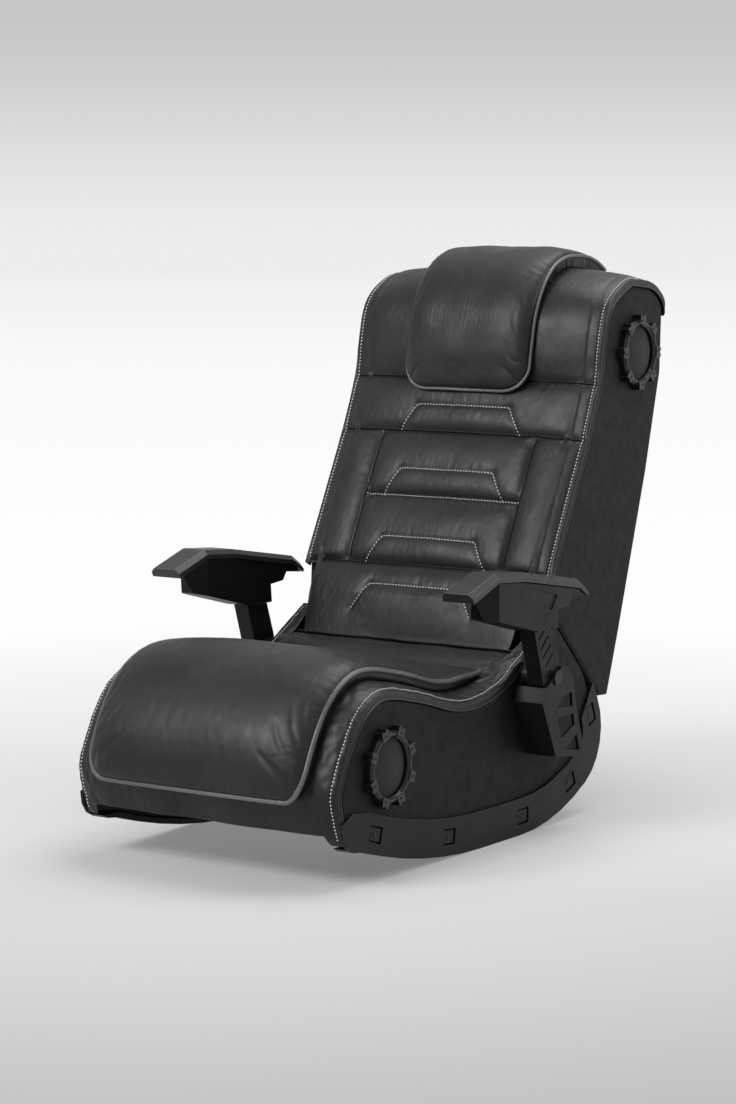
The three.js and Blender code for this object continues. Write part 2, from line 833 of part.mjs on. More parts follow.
// Bass driver on the rear of the back board, with its axis square to the board
function wooferGeometry() {
  const wall = 5;
  return new THREE.LatheGeometry(
    [
      [0, wooferDepth * 0.3],
      [wooferRadius * 0.3, wooferDepth * 0.36],
      [wooferRadius - wall, 0],
      [wooferRadius, 0],
      [wooferRadius, wall],
      [wooferRadius * 0.6, wooferDepth * 0.62],
      [wooferRadius * 0.6, wooferDepth],
      [0, wooferDepth],
    ].map(([radius, depth]) => point(radius, depth)),
    roundFacets,
  );
}

// A closed outline through points of a share table
function outlineOf(shares, width, height, kind = THREE.Shape) {
  const outline = new kind();
  outline.setFromPoints(scaled(shares, width, height));
  return outline;
}

// Arm bracket: front cover with a chamfered ledge, trussed cheek, foot, and flange with a boss.
// Its y and z start at the flip axis.
function bracketGeometry() {
  const inner = halfWidth + fitGap;
  const outer = armOuter() + cheekThickness + softGap;
  const bossEnd = armCentre - postWidth / 2 - softGap;
  const part = (shares) => outlineOf(shares, bracketDepth, bracketDrop);
  const cheek = part(cheekShares);
  cheek.holes = windowShares.map((shares) => outlineOf(shares, bracketDepth, bracketDrop, THREE.Path));
  const center = point(0, 0);
  return cut(
    joined(
      across(cheek, outer - cheekThickness, outer),
      across(part(coverShares), inner, outer),
      across(part(footShares), inner, outer),
      across(part(flangeShares), inner, inner + flangeThickness),
      bore(center, hubRadius * 0.9, inner, bossEnd),
    ),
    bore(center, armPinRadius + fitGap, halfWidth - cutOverrun, outer + cutOverrun, smallFacets),
  );
}

// The outer face of the arm's post
function armOuter() {
  return armCentre + postWidth / 2;
}

// Arm frame: beam under the pad, raked post with slanted grooves, and the hub on the flip axis.
// Its y and z start at that axis.
function armFrameGeometry() {
  const inner = armCentre - armWidth / 2;
  const outer = armCentre + armWidth / 2;
  const postInner = armCentre - postWidth / 2;
  const under = armPadThickness;
  const line = armTopLine();
  const prow = beamShares[0][0] * armLength;
  const beam = outlineOf(beamShares, armLength, armHeight);
  line.slice(1, -1).reverse().forEach((p) => beam.lineTo(p.x, p.y - under));
  const rake = (line[1].y - line[0].y) / (line[1].x - line[0].x - under / 2);
  beam.lineTo(prow, line[1].y - under + rake * (prow - line[1].x));
  const post = outlineOf(postShares, armLength, armHeight);
  const hub = bore(point(0, 0), hubRadius, postInner, armOuter());
  const ribs = Array.from({ length: ribCount }, (_, i) => {
    const height = armHeight * (0.16 + 0.08 * i);
    const rib = block(
      armOuter() - ribDepth, outer, -ribLength / 2, ribLength / 2, -ribWidth / 2, ribWidth / 2,
    );
    return rib.rotateX(40 * degree).translate(0, -height * 0.48 - hubRadius * 0.05, height);
  });
  const recess = outlineOf(recessShares, armLength, armHeight);
  const bow = [-1, 1].map((hand) => {
    const wedge = new THREE.Shape();
    wedge.moveTo(armCentre, prow - cutOverrun);
    wedge.lineTo(armCentre, prow);
    wedge.lineTo(armCentre + (hand * armWidth) / 2, prow + beamBow);
    wedge.lineTo(armCentre + hand * armWidth, prow + beamBow);
    wedge.lineTo(armCentre + hand * armWidth, prow - cutOverrun);
    return new THREE.ExtrudeGeometry(wedge, { depth: armHeight, bevelEnabled: false });
  });
  return cut(
    joined(
      across(beam, inner, outer, edgeRound / 3, 1),
      across(post, postInner, armOuter()),
      hub,
    ),
    ...bow,
    ...ribs,
    bore(point(0, 0), armPinRadius + fitGap, postInner - cutOverrun, outer, smallFacets),
    across(recess, outer - recessDepth, outer + cutOverrun),
  );
}

// The arm pad's top line, from its tip to its tail
function armTopLine() {
  return scaled(armTopShares, armLength, armHeight);
}

// Bevelled arm pad with three grooves across it
function armPadGeometry() {
  const line = armTopLine();
  const drop = armPadThickness - fitGap;
  const shape = new THREE.Shape();
  shape.moveTo(line[0].x + armPadThickness / 2, line[0].y - drop);
  line.slice(1).forEach((p) => shape.lineTo(p.x, p.y - drop));
  line.slice().reverse().forEach((p) => shape.lineTo(p.x, p.y));
  const inner = armCentre - armPadWidth / 2;
  const outer = armCentre + armPadWidth / 2;
  const body = across(shape, inner, outer);
  const chamfers = [];
  for (let i = 0; i + 1 < line.length; i++) {
    const run = line[i + 1].clone().sub(line[i]);
    const middle = line[i + 1].clone().add(line[i]).multiplyScalar(0.5);
    for (const x of [inner, outer]) {
      const half = run.length() / 2 + armBevel;
      const bar = block(-armBevel, armBevel, -half, half, -armBevel, armBevel).rotateY(45 * degree);
      chamfers.push(bar.rotateX(run.angle()).translate(x, middle.x, middle.y + armBevel * 0.5));
    }
  }
  const grooves = grooveShares.map((share) => {
    const at = line[2].clone().lerp(line[3], share);
    const floor = at.y - grooveDepth;
    return block(inner - cutOverrun, outer + cutOverrun, at.x, at.x + grooveWidth, floor, at.y + armBevel);
  });
  return cut(body, ...chamfers, ...grooves);
}

// A turned pin with a head
function pinGeometry(fromX, toX, radius, headRadius, headFrom, headTo) {
  const centre = point(0, 0);
  return joined(
    bore(centre, radius, fromX, toX, smallFacets),
    bore(centre, headRadius, headFrom, headTo, smallFacets),
  );
}

// Pieces that come in a left and a right copy
for (const side of [1, -1]) {
  const hand = side > 0 ? "left" : "right";
  const seatSide = new THREE.Group();
  seatSide.scale.x = side;
  seat.add(seatSide);
  const backSide = new THREE.Group();
  backSide.scale.x = side;
  back.add(backSide);
  const arm = new THREE.Group();
  arm.position.set(0, -pivotForward, pivotHeight);
  arm.scale.x = side;
  seat.add(arm);

  piece(`rocker_rail_${hand}`, railGeometry(), "plastic", seatSide);
  piece(`seat_side_${hand}`, seatSideGeometry(side), "vinyl", seatSide);
  piece(`arm_bracket_${hand}`, bracketGeometry(), "plastic", seatSide)
    .position.set(0, -pivotForward, pivotHeight);
  const pinTo = armOuter() + cheekThickness + softGap + fitGap;
  const pinFrom = halfWidth + fitGap;
  const armPin = pinGeometry(pinFrom, pinTo, armPinRadius, hubRadius / 2, pinTo, pinTo + armPinHead);
  piece(`arm_pivot_pin_${hand}`, armPin, "steel", seatSide).position.set(0, -pivotForward, pivotHeight);

  const seatLeafX = innerHalf - fitGap - leafThickness;
  const backLeafX = seatLeafX - fitGap - leafThickness;
  const seatLeaf = leafGeometry(seatLeafX, seatLeafX + leafThickness, Math.PI, seatLeafX + leafThickness);
  piece(`hinge_leaf_seat_${hand}`, seatLeaf, "steel", seatSide).position.z = foldHeight;
  const backLeaf = leafGeometry(backLeafX, backLeafX + leafThickness, 0, innerHalf - fitGap);
  piece(`hinge_leaf_back_${hand}`, backLeaf, "steel", backSide);
  const foldPin = pinGeometry(
    backLeafX - fitGap, innerHalf - fitGap, hingePinRadius, hingeHeadRadius,
    backLeafX - fitGap - hingeHead, backLeafX - fitGap,
  );
  piece(`fold_pin_${hand}`, foldPin, "steel", seatSide).position.z = foldHeight;

  for (const [place, home, parent] of [[seatSpeaker, "seat", seatSide], [backSpeaker, "back", backSide]]) {
    const parts = [
      [`${home}_speaker_ring_${hand}`, speakerRingGeometry(), "bezel"],
      [`${home}_speaker_grille_${hand}`, grilleGeometry(), "cloth"],
      [`${home}_speaker_driver_${hand}`, driverGeometry(), "plastic"],
    ];
    for (const [name, geometry, finish] of parts) {
      piece(name, geometry, finish, parent).position.set(0, place.x, place.y);
    }
  }

  piece(`back_side_${hand}`, backSideGeometry(), "vinyl", backSide);
  const seatBorder = borderGeometry(seatRim, seatBorderEndShare, seatRise);
  piece(`seat_border_${hand}`, seatBorder, "leather", seatSide);
  const backBorder = borderGeometry(backEdge, 1, (x) => backBorderCrown * swell(x / halfWidth));
  piece(`back_border_${hand}`, backBorder, "leather", backSide);
  piece(`arm_frame_${hand}`, armFrameGeometry(), "plastic", arm);
  piece(`arm_pad_${hand}`, armPadGeometry(), "plastic", arm);
}

// Boards inside the seat, and the panel that closes its rear under the diagonal split
const boardHalf = innerHalf - fitGap;
const baseTop = noseHeight + fitGap + boardThickness;
const boardFront = -seatDepth + boardThickness * 2;
const rearPointCount = 7;
const rearOuter = rockerLine(railHeight / 2).slice(-rearPointCount, -1);
const rearInner = rockerLine(railHeight / 2 + rearThickness).slice(-rearPointCount, -1);
const baseBoard = block(
  -boardHalf, boardHalf, boardFront + boardThickness * 2, rearInner[0].x - fitGap,
  baseTop - boardThickness, baseTop,
);
piece("base_board", baseBoard, "wood", seat);
const frontBoard = block(
  -boardHalf, boardHalf, boardFront, boardFront + boardThickness,
  noseHeight + fitGap, deckHeight - boardThickness - fitGap,
);
piece("front_board", frontBoard, "wood", seat);
const deck = cut(
  block(-boardHalf, boardHalf, boardFront, endRadius / 2, deckHeight - boardThickness, deckHeight),
  driverRoom(seatSpeaker, 1),
  driverRoom(seatSpeaker, -1),
);
piece("seat_deck", deck, "wood", seat);

const boardDrop = boardThickness * Math.SQRT1_2;
const underBoard = (y) => splitHeight(y) - boardThickness * Math.SQRT2 - fitGap;
const rearPanel = new THREE.Shape();
rearPanel.setFromPoints([
  ...rearOuter,
  point(rearOuter.at(-1).x, underBoard(rearOuter.at(-1).x)),
  point(rearInner.at(-1).x, underBoard(rearInner.at(-1).x)),
  ...rearInner.reverse(),
]);
piece("seat_rear_panel", across(rearPanel, -boardHalf, boardHalf), "vinyl", seat);

// Board on the diagonal split, which the backrest's foot rests on
const rearFrom = (sweepRadius + softGap) * Math.SQRT1_2;
const rearTo = rearOuter.at(-1).x;
const rearBoard = new THREE.Shape();
rearBoard.setFromPoints([
  point(rearFrom, splitHeight(rearFrom)),
  point(rearFrom - boardDrop, splitHeight(rearFrom) - boardDrop),
  point(rearTo - boardDrop, splitHeight(rearTo) - boardDrop),
  point(rearTo, splitHeight(rearTo)),
]);
piece("rear_board", across(rearBoard, -boardHalf, boardHalf), "wood", seat);

piece("seat_foam", seatFoamGeometry(), "leather", seat);
piece("seat_pad", seatPadGeometry(), "leather", seat);

// Boards and cover of the backrest
const backBoardTop = backEdgePoints.at(-1).y - wrapThickness - fitGap;
const boardInner = backFoam + fitGap;
const bassPlace = wooferPlaceShare * backLength;
const bassHole = wooferRadius * 0.86;
const boardOuter = boardInner + boardThickness;
const backBoard = cut(
  block(-boardHalf, boardHalf, boardInner, boardOuter, leafLength + leafRadius, backBoardTop),
  driverRoom(backSpeaker, 1),
  driverRoom(backSpeaker, -1),
  new THREE.CylinderGeometry(bassHole, bassHole, boardThickness * 4, roundFacets)
    .translate(0, boardInner, bassPlace),
);
piece("back_board", backBoard, "wood", back);
piece("bass_driver", wooferGeometry(), "plastic", back)
  .position.set(0, boardInner + boardThickness + fitGap, bassPlace);

const rearLine = scaled(backRearShares, backDepth, backLength);
const coverOuter = [point(rearLine[0].x, rearLine[0].y - edgeRound), ...rearLine.slice(1)];
const coverShape = new THREE.Shape();
const coverInner = coverOuter.map((p) => point(p.x - rearThickness, p.y)).reverse();
coverShape.setFromPoints([...coverOuter, ...coverInner]);
piece("rear_cover", across(coverShape, -boardHalf, boardHalf), "vinyl", back);

const footAngle = -Math.atan(splitSlope) + reclineAngle;
const footStart = leafRadius * 2.4;
const footEnd = splitEnd * Math.SQRT2 - boardThickness;
const footBoard = block(-boardHalf, boardHalf, footStart, footEnd, fitGap, fitGap + boardThickness);
piece("back_foot_board", footBoard.rotateX(footAngle), "wood", back);

piece("back_cushion", backCushionGeometry(), "leather", back);
piece("headrest_pillow", pillowGeometry(), "leather", back);

// Amplifier and its controls, in the sitter's right side of the seat
const controls = new THREE.Group();
controls.position.set(0, controlPlace.x, controlPlace.y);
controls.scale.x = -1;
seat.add(controls);
const window = halfPlate();
const plateX = halfWidth + fitGap;
const knobPlaces = [["volume_knob", knobPitch * 1.5], ["bass_knob", knobPitch / 2]];
const buttonPlace = point(-knobPitch / 2, plateHeight / 5);
const jackPlaces = [0, 1, 2].map((i) => point(-knobPitch / 2 - i * jackPitch, -plateHeight / 5));
const plateOutline = new THREE.Shape();
const plateHalf = point(plateLength / 2, plateHeight / 2);
plateOutline.moveTo(-plateHalf.x + edgeRound, -plateHalf.y);
plateOutline.lineTo(plateHalf.x - edgeRound, -plateHalf.y);
plateOutline.lineTo(plateHalf.x, -plateHalf.y + edgeRound);
plateOutline.lineTo(plateHalf.x, plateHalf.y - edgeRound);
plateOutline.lineTo(plateHalf.x - edgeRound, plateHalf.y);
plateOutline.lineTo(-plateHalf.x + edgeRound, plateHalf.y);
plateOutline.lineTo(-plateHalf.x, plateHalf.y - edgeRound);
plateOutline.lineTo(-plateHalf.x, -plateHalf.y + edgeRound);
const shaftHole = (y, from) => bore(point(y, 0), shaftRadius + fitGap, from, bodyWidth, smallFacets);
const buttonHole = (from) => bore(buttonPlace, buttonRadius + fitGap, from, bodyWidth, smallFacets);
const plateBody = cut(
  across(plateOutline, plateX, plateX + plateThickness),
  ...knobPlaces.map(([, y]) => shaftHole(y, halfWidth)),
  ...jackPlaces.map((at) => bore(at, jackRadius + fitGap, halfWidth, bodyWidth, smallFacets)),
  buttonHole(halfWidth),
);
piece("control_plate", plateBody, "plastic", controls);
const inside = halfWidth - knobDepth;
const jackEnd = plateX + plateThickness + jackProud;
const amplifierBody = cut(
  joined(
    block(halfWidth - amplifierDepth, halfWidth, -window.x, window.x, -window.y, window.y),
    ...jackPlaces.map((at) => bore(at, jackRadius, inside, jackEnd, smallFacets)),
  ),
  ...knobPlaces.map(([, y]) => shaftHole(y, inside)),
  ...jackPlaces.map((at) => bore(at, jackBore, halfWidth, bodyWidth, smallFacets)),
  buttonHole(inside),
);
piece("amplifier", amplifierBody, "plastic", controls);
for (const [name, y] of knobPlaces) {
  const from = plateX + plateThickness + fitGap;
  const to = from + knobDepth;
  const grip = turned([
    [from, 0],
    [from, knobRadius],
    [to - fitGap, knobRadius * 0.9],
    [to, knobRadius * 0.8],
    [to, 0],
  ]);
  const knob = joined(grip, bore(point(0, 0), shaftRadius, halfWidth - knobDepth / 2, from, smallFacets));
  const flutes = Array.from({ length: knobFluteCount }, (_, i) => {
    const angle = (i * 2 * Math.PI) / knobFluteCount;
    const at = point(knobRadius * 1.05 * Math.cos(angle), knobRadius * 1.05 * Math.sin(angle));
    return bore(at, knobFluteRadius, from - cutOverrun, to + cutOverrun, fluteFacets);
  });
  piece(name, cut(knob, ...flutes), "plastic", controls).position.y = y;
}
const buttonTo = plateX + plateThickness + buttonProud;
piece(
  "power_button",
  turned(
    [
      [halfWidth - knobDepth / 2, 0],
      [halfWidth - knobDepth / 2, buttonRadius],
      [buttonTo - fitGap, buttonRadius],
      [buttonTo, buttonRadius * 0.8],
      [buttonTo, 0],
    ],
    smallFacets,
  ),
  "plastic",
  controls,
).position.set(0, buttonPlace.x, buttonPlace.y);

// The chair stands with the middle of its footprint on the origin
const box = new THREE.Box3().setFromObject(chair, true);
seat.position.y = -(box.min.y + box.max.y) / 2;

export default chair;
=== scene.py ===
# %% [markdown]
# # A floor rocker chair, dressed in Blender
# The chair is already built and packed as a fixed frame: its panels, rails, hinges, arms and
# speakers have their real sizes and places. This lesson gives it its looks: padded leather with
# seams and stitches, piping, moulded plastic and cloth. Lengths are in metres, +Z is up, the
# sitter faces -Y, and +X is the sitter's left.

# %% Load the frame
import json
import math

import bmesh
import bpy
import numpy as np
from mathutils import Matrix, Vector


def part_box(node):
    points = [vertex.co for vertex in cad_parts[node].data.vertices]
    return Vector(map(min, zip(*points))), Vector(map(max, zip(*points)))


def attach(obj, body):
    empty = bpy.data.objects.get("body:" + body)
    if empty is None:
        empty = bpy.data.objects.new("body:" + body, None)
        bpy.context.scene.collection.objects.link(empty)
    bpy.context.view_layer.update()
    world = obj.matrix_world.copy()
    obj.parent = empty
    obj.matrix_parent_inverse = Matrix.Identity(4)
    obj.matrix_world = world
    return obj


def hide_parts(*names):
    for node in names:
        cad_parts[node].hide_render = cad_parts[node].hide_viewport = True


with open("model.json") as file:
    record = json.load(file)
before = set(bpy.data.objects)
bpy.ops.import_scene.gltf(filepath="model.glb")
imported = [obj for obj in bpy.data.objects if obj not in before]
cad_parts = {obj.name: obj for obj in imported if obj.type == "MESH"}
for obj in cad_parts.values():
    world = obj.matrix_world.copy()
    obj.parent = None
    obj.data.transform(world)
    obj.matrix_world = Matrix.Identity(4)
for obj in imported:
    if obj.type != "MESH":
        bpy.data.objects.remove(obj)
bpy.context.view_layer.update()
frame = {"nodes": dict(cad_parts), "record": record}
nodes = frame["nodes"]
scene = bpy.context.scene

# %% [markdown]
# ## Four helpers
# Every later cell makes objects, meshes or shader nodes, so each has one short function. A node's
# inputs are fed from a dictionary: a plain value is set, and another node's output is linked.

# %% Helpers
MM = 0.001
SIDES = ((1, "left"), (-1, "right"))


def placed(name, data):
    """A new object in the scene, at the origin."""
    thing = bpy.data.objects.new(name, data)
    scene.collection.objects.link(thing)
    return thing


def mesh_from(name, form):
    """A mesh made of a bmesh form, which is freed."""
    mesh = bpy.data.meshes.new(name)
    form.to_mesh(mesh)
    form.free()
    return mesh


def feed(node, feeds):
    for key, value in feeds.items():
        if isinstance(value, bpy.types.NodeSocket):
            node.id_data.links.new(value, node.inputs[key])
        else:
            node.inputs[key].default_value = value
    return node


def add(tree, kind, feeds=None, **settings):
    """A new shader node with its settings and inputs."""
    node = tree.nodes.new("ShaderNode" + kind)
    for name, value in settings.items():
        setattr(node, name, value)
    return feed(node, feeds or {})


print("sides", [side for _, side in SIDES])

# %% [markdown]
# ## The camera
# The photograph looks down a little on the chair's front left corner through a long lens. The
# camera was solved from edges that show on both sides of the chair.

# %% Camera
PHOTO_HEIGHT = 1104
FOCAL_PIXELS = 3095.5
SENSOR = 36.0
AZIMUTH = math.radians(34.04)
ELEVATION = math.radians(6.65)
CAMERA_PLACE = (2.7875, -4.1555, 1.0306)


def add_camera():
    data = bpy.data.cameras.new("camera")
    data.sensor_fit = "VERTICAL"
    data.sensor_height = SENSOR
    data.lens = FOCAL_PIXELS * SENSOR / PHOTO_HEIGHT
    camera = placed("camera", data)
    camera.location = CAMERA_PLACE
    camera.rotation_euler = (math.pi / 2 - ELEVATION, 0, AZIMUTH)
    scene.camera = camera
    print("lens %.1f mm" % data.lens)


add_camera()

# %% [markdown]
# ## Floor, backdrop and light
# The photograph's backdrop is a pale sweep: white behind the chair, a little greyer at the top and
# in front. Here a very wide floor runs to the horizon. Near the chair it is painted and takes the
# shadow. Further off, what the camera and reflections see is a fixed pale tone that depends only
# on the place on the floor, and so is the world above the horizon. The light itself stays at a
# level at which colours come out as written.

# %% Stage
FLOOR_TONE = (0.68, 0.68, 0.685, 1)
FLOOR_SIZE = 80.0
PAINTED_NEAR, PAINTED_FAR = 0.35, 2.6  # the backdrop's share grows between these distances
NEAR_BACKDROP_SHARE = 0.30
LIGHT_LEVEL = 0.32
# Metres beyond the chair as the camera looks, and the backdrop's tone there.
SWEEP = [
    (-12.0, 0.84), (-4.5, 0.74), (-1.8, 0.45), (-0.6, 0.50), (0.0, 0.78), (1.2, 1.0), (3.6, 0.985),
    (9.0, 0.96), (26.0, 0.885), (36.0, 0.846),
]
HORIZON = 0.846
HORIZON_RISE = -0.024
ZENITH = 0.56
ZENITH_RISE = 0.062
LAMPS = {  # place, aim, size, watts
    "key": ((-1.0, -3.2, 2.7), (0, 0, 0.4), (2.0, 1.5), 105),
    "overhead": ((0.4, 0.8, 3.4), (0, 0, 0.3), (2.6, 2.2), 70),
    "rim": ((2.6, 1.8, 1.9), (0, 0, 0.6), (1.2, 1.8), 26),
}


def blank(holder):
    """The empty node tree of a material or a world."""
    holder.use_nodes = True
    holder.node_tree.nodes.clear()
    return holder.node_tree


def new_material(name):
    material = bpy.data.materials.new(name)
    return material, blank(material)


def maths(tree, operation, *values):
    return add(tree, "Math", dict(enumerate(values)), operation=operation).outputs[0]


def seen_rays(tree):
    """1 for rays that see the backdrop: the camera's, and those of gloss and glass."""
    path = add(tree, "LightPath")
    total = path.outputs["Is Camera Ray"]
    for kind in ("Is Glossy Ray", "Is Transmission Ray"):
        total = maths(tree, "MAXIMUM", total, path.outputs[kind])
    return total


def ramp(tree, value, low, high, to_low=0.0, to_high=1.0, interpolation="LINEAR"):
    """The value's way from low to high, spread over to_low to to_high."""
    feeds = {"Value": value, "From Min": low, "From Max": high}
    feeds |= {"To Min": to_low, "To Max": to_high}
    return add(tree, "MapRange", feeds, interpolation_type=interpolation).outputs["Result"]


def eased(tree, value, low, high, to_low=0.0, to_high=1.0):
    return ramp(tree, value, low, high, to_low, to_high, "SMOOTHSTEP")


def floor_finish():
    material, tree = new_material("floor")
    place = add(tree, "TexCoord").outputs["Object"]
    away = add(tree, "VectorMath", {0: place}, operation="LENGTH").outputs["Value"]
    ahead = (-math.sin(AZIMUTH), math.cos(AZIMUTH), 0)
    depth = add(tree, "VectorMath", {0: place, 1: ahead}, operation="DOT_PRODUCT").outputs["Value"]
    near, far = SWEEP[0][0], SWEEP[-1][0]
    sweep = add(tree, "ValToRGB", {"Fac": ramp(tree, depth, near, far)})
    sweep.color_ramp.interpolation = "EASE"
    stops = sweep.color_ramp.elements
    while len(stops) < len(SWEEP):
        stops.new(0.5)
    for stop, (metres, tone) in zip(stops, SWEEP):
        stop.position = (metres - near) / (far - near)
        stop.color = (tone, tone, tone, 1)
    painted = add(tree, "BsdfDiffuse", {"Color": FLOOR_TONE})
    backdrop = add(tree, "Emission", {"Color": sweep.outputs["Color"]})
    share = eased(tree, away, PAINTED_NEAR, PAINTED_FAR, NEAR_BACKDROP_SHARE)
    share = maths(tree, "MULTIPLY", share, seen_rays(tree))
    mix = add(tree, "MixShader", {"Fac": share, 1: painted.outputs[0], 2: backdrop.outputs[0]})
    add(tree, "OutputMaterial", {"Surface": mix.outputs[0]})
    return material


def add_floor():
    form = bmesh.new()
    bmesh.ops.create_grid(form, x_segments=1, y_segments=1, size=FLOOR_SIZE / 2)
    floor = placed("floor", mesh_from("floor", form))
    floor.data.materials.append(floor_finish())


def light_world():
    world = bpy.data.worlds.new("studio")
    scene.world = world
    tree = blank(world)
    light = add(tree, "Background", {"Color": (1, 1, 1, 1), "Strength": LIGHT_LEVEL})
    way = add(tree, "TexCoord").outputs["Generated"]
    rise = add(tree, "SeparateXYZ", {0: way}).outputs["Z"]
    tone = eased(tree, rise, HORIZON_RISE, ZENITH_RISE, HORIZON, ZENITH)
    sky = add(tree, "Background", {"Color": tone})
    mix = add(tree, "MixShader", {"Fac": seen_rays(tree), 1: light.outputs[0], 2: sky.outputs[0]})
    add(tree, "OutputWorld", {"Surface": mix.outputs[0]})


def add_softbox(name, place, aim, size, power):
    data = bpy.data.lights.new(name, "AREA")
    data.shape = "RECTANGLE"
    data.size, data.size_y = size
    data.energy = power
    lamp = placed(name, data)
    lamp.location = place
    direction = Vector(aim) - Vector(place)
    lamp.rotation_euler = direction.to_track_quat("-Z", "Y").to_euler()


add_floor()
light_world()
for name, lamp in LAMPS.items():
    add_softbox(name, *lamp)
scene.view_settings.view_transform = "Standard"

# %% [markdown]
# ## Finishes
# One builder makes every finish from the same few steps, as a maker's sample book does: a base
# tone with slow variation, a grain that is a bump, and roughness that shifts a little. Patterns
# read Object coordinates in metres, so a scale of 900 makes cells of about a millimetre.


# %% Shader helpers
def shader_of(tree, base, roughness, sheen=0.0, coat=0.0, coat_roughness=0.3, metallic=0.0,
              ior=1.5):
    shader = add(tree, "BsdfPrincipled", {
        "Base Color": (*base, 1), "Roughness": roughness, "Sheen Weight": sheen,
        "Sheen Roughness": 0.4, "Coat Weight": coat, "Coat Roughness": coat_roughness,
        "Metallic": metallic, "IOR": ior,
    })
    add(tree, "OutputMaterial", {"Surface": shader.outputs[0]})
    return shader


def coordinates(tree, stretch=(1, 1, 1)):
    here = add(tree, "TexCoord").outputs["Object"]
    return add(tree, "Mapping", {"Vector": here, "Scale": stretch}).outputs["Vector"]


def noise(tree, vector, scale, detail=3.0, rough=0.5):
    feeds = {"Vector": vector, "Scale": scale, "Detail": detail, "Roughness": rough}
    return add(tree, "TexNoise", feeds).outputs["Fac"]


def cells(tree, vector, scale, feature="DISTANCE_TO_EDGE"):
    feeds = {"Vector": vector, "Scale": scale}
    return add(tree, "TexVoronoi", feeds, feature=feature).outputs["Distance"]


def tones(tree, value, dark, light):
    """A mix of two colours. Each is three numbers or another node's colour."""
    feeds = {"Factor": value}
    for key, tone in (("A", dark), ("B", light)):
        feeds[key] = tone if isinstance(tone, bpy.types.NodeSocket) else (*tone, 1)
    return add(tree, "Mix", feeds, data_type="RGBA").outputs["Result"]


def bump(tree, height, strength, depth, below=None):
    feeds = {"Height": height, "Strength": strength, "Distance": depth}
    if below is not None:
        feeds["Normal"] = below
    return add(tree, "Bump", feeds).outputs["Normal"]


def shifting(tree, fac, rough, less, more):
    """A roughness that shifts a little with a pattern."""
    return ramp(tree, fac, 0.3, 0.7, rough - less, rough + more)


def shaded(tone, share):
    return tuple(share * c for c in tone)


# %% [markdown]
# ### Leather
# Bonded leather is polyurethane on a cloth back. It has a pebble grain of one to two
# millimetres, fine creases where it stretches, a soft broad gloss and a warm tone in the folds.


# %% Leather
def leather(name, dark=(0.0060, 0.0056, 0.0054), light=(0.0125, 0.0119, 0.0118), rough=0.40,
            ior=1.40):
    material, tree = new_material(name)
    even = coordinates(tree)
    pebbles = bump(tree, ramp(tree, cells(tree, even, 640.0), 0.0, 0.12), 0.30, 0.00018)
    creases = noise(tree, coordinates(tree, (150, 60, 60)), 1.0, 5.0, 0.62)
    folded = bump(tree, creases, 0.09, 0.0008, pebbles)
    wide = noise(tree, coordinates(tree, (40, 16, 16)), 1.0, 3.0)
    slow = ramp(tree, noise(tree, even, 7.0, 4.0), 0.35, 0.65)
    shader = shader_of(tree, light, rough, sheen=0.02, coat=0.05, coat_roughness=0.24, ior=ior)
    feed(shader, {
        "Base Color": tones(tree, slow, dark, light),
        "Roughness": shifting(tree, noise(tree, even, 42.0, 4.0), rough, 0.06, 0.09),
        "Normal": bump(tree, wide, 0.10, 0.0022, folded),
    })
    return material


seat_leather = leather("seat_leather")
back_leather = leather("back_leather")
pad_leather = leather("pad_leather", rough=0.42)
pillow_leather = leather("pillow_leather", rough=0.43)
print("leathers ready")

# %% [markdown]
# ### Vinyl, plastic, cloth, wood and steel
# The side panels are covered in a matter vinyl. Rails, brackets and arms are moulded plastic with
# a fine spark-eroded texture. Their edges carry a painted highlight, a much lighter base colour.
# An edge is where the bevelled normal turns away from the face's own. The arm pad has three
# grooves, with painted shade in them.

# %% Other finishes
# The painted edge highlight: how many times lighter the base colour is on an edge, and where it
# fades in.
EDGE_HIGHLIGHT_GAIN = 7.5
HIGHLIGHT_STARTS, HIGHLIGHT_FULL = 0.995, 0.86  # agreement of the two normals
GROOVES = (-0.0225, 0.0391, 0.1007)
GROOVE_HALF = 2.2 * MM
# The colour of the painted shade inside the arm pad's grooves.
GROOVE_SHADE_TONE = (0.002, 0.002, 0.002)


def vinyl(name, tone=(0.0062, 0.0053, 0.0047), rough=0.56, ior=1.27):
    material, tree = new_material(name)
    even = coordinates(tree)
    fine = bump(tree, ramp(tree, cells(tree, even, 780.0), 0, 0.1), 0.28, 0.0002)
    slack = noise(tree, coordinates(tree, (13, 13, 8)), 1.0, 2.0)
    feed(shader_of(tree, tone, rough, sheen=0.02, ior=ior), {
        "Base Color": tones(tree, noise(tree, even, 5.0, 3.0), shaded(tone, 0.72), tone),
        "Roughness": shifting(tree, noise(tree, even, 60.0), rough, 0.05, 0.08),
        "Normal": bump(tree, slack, 0.16, 0.005, fine),
    })
    return material


def plastic(name, tone=(0.018, 0.0175, 0.0172), rough=0.5, texture=1500.0, depth=0.00012,
            edge=0.0012, ior=1.29):
    material, tree = new_material(name)
    even = coordinates(tree)
    rounded = add(tree, "Bevel", {"Radius": edge}, samples=6).outputs["Normal"]
    normals = {0: rounded, 1: add(tree, "NewGeometry").outputs["Normal"]}
    agree = add(tree, "VectorMath", normals, operation="DOT_PRODUCT").outputs["Value"]
    face = tones(tree, noise(tree, even, 9.0, 3.0), shaded(tone, 0.8), tone)
    # Painted highlight: along the edges the base colour is made many times lighter.
    edge_painted_highlight = eased(tree, agree, HIGHLIGHT_STARTS, HIGHLIGHT_FULL)
    feed(shader_of(tree, tone, rough, ior=ior), {
        "Base Color": tones(tree, edge_painted_highlight, face, shaded(tone, EDGE_HIGHLIGHT_GAIN)),
        "Roughness": shifting(tree, noise(tree, even, 35.0, 4.0), rough, 0.05, 0.07),
        "Normal": bump(tree, noise(tree, even, texture, 2.0), 0.4, depth, rounded),
    })
    return material


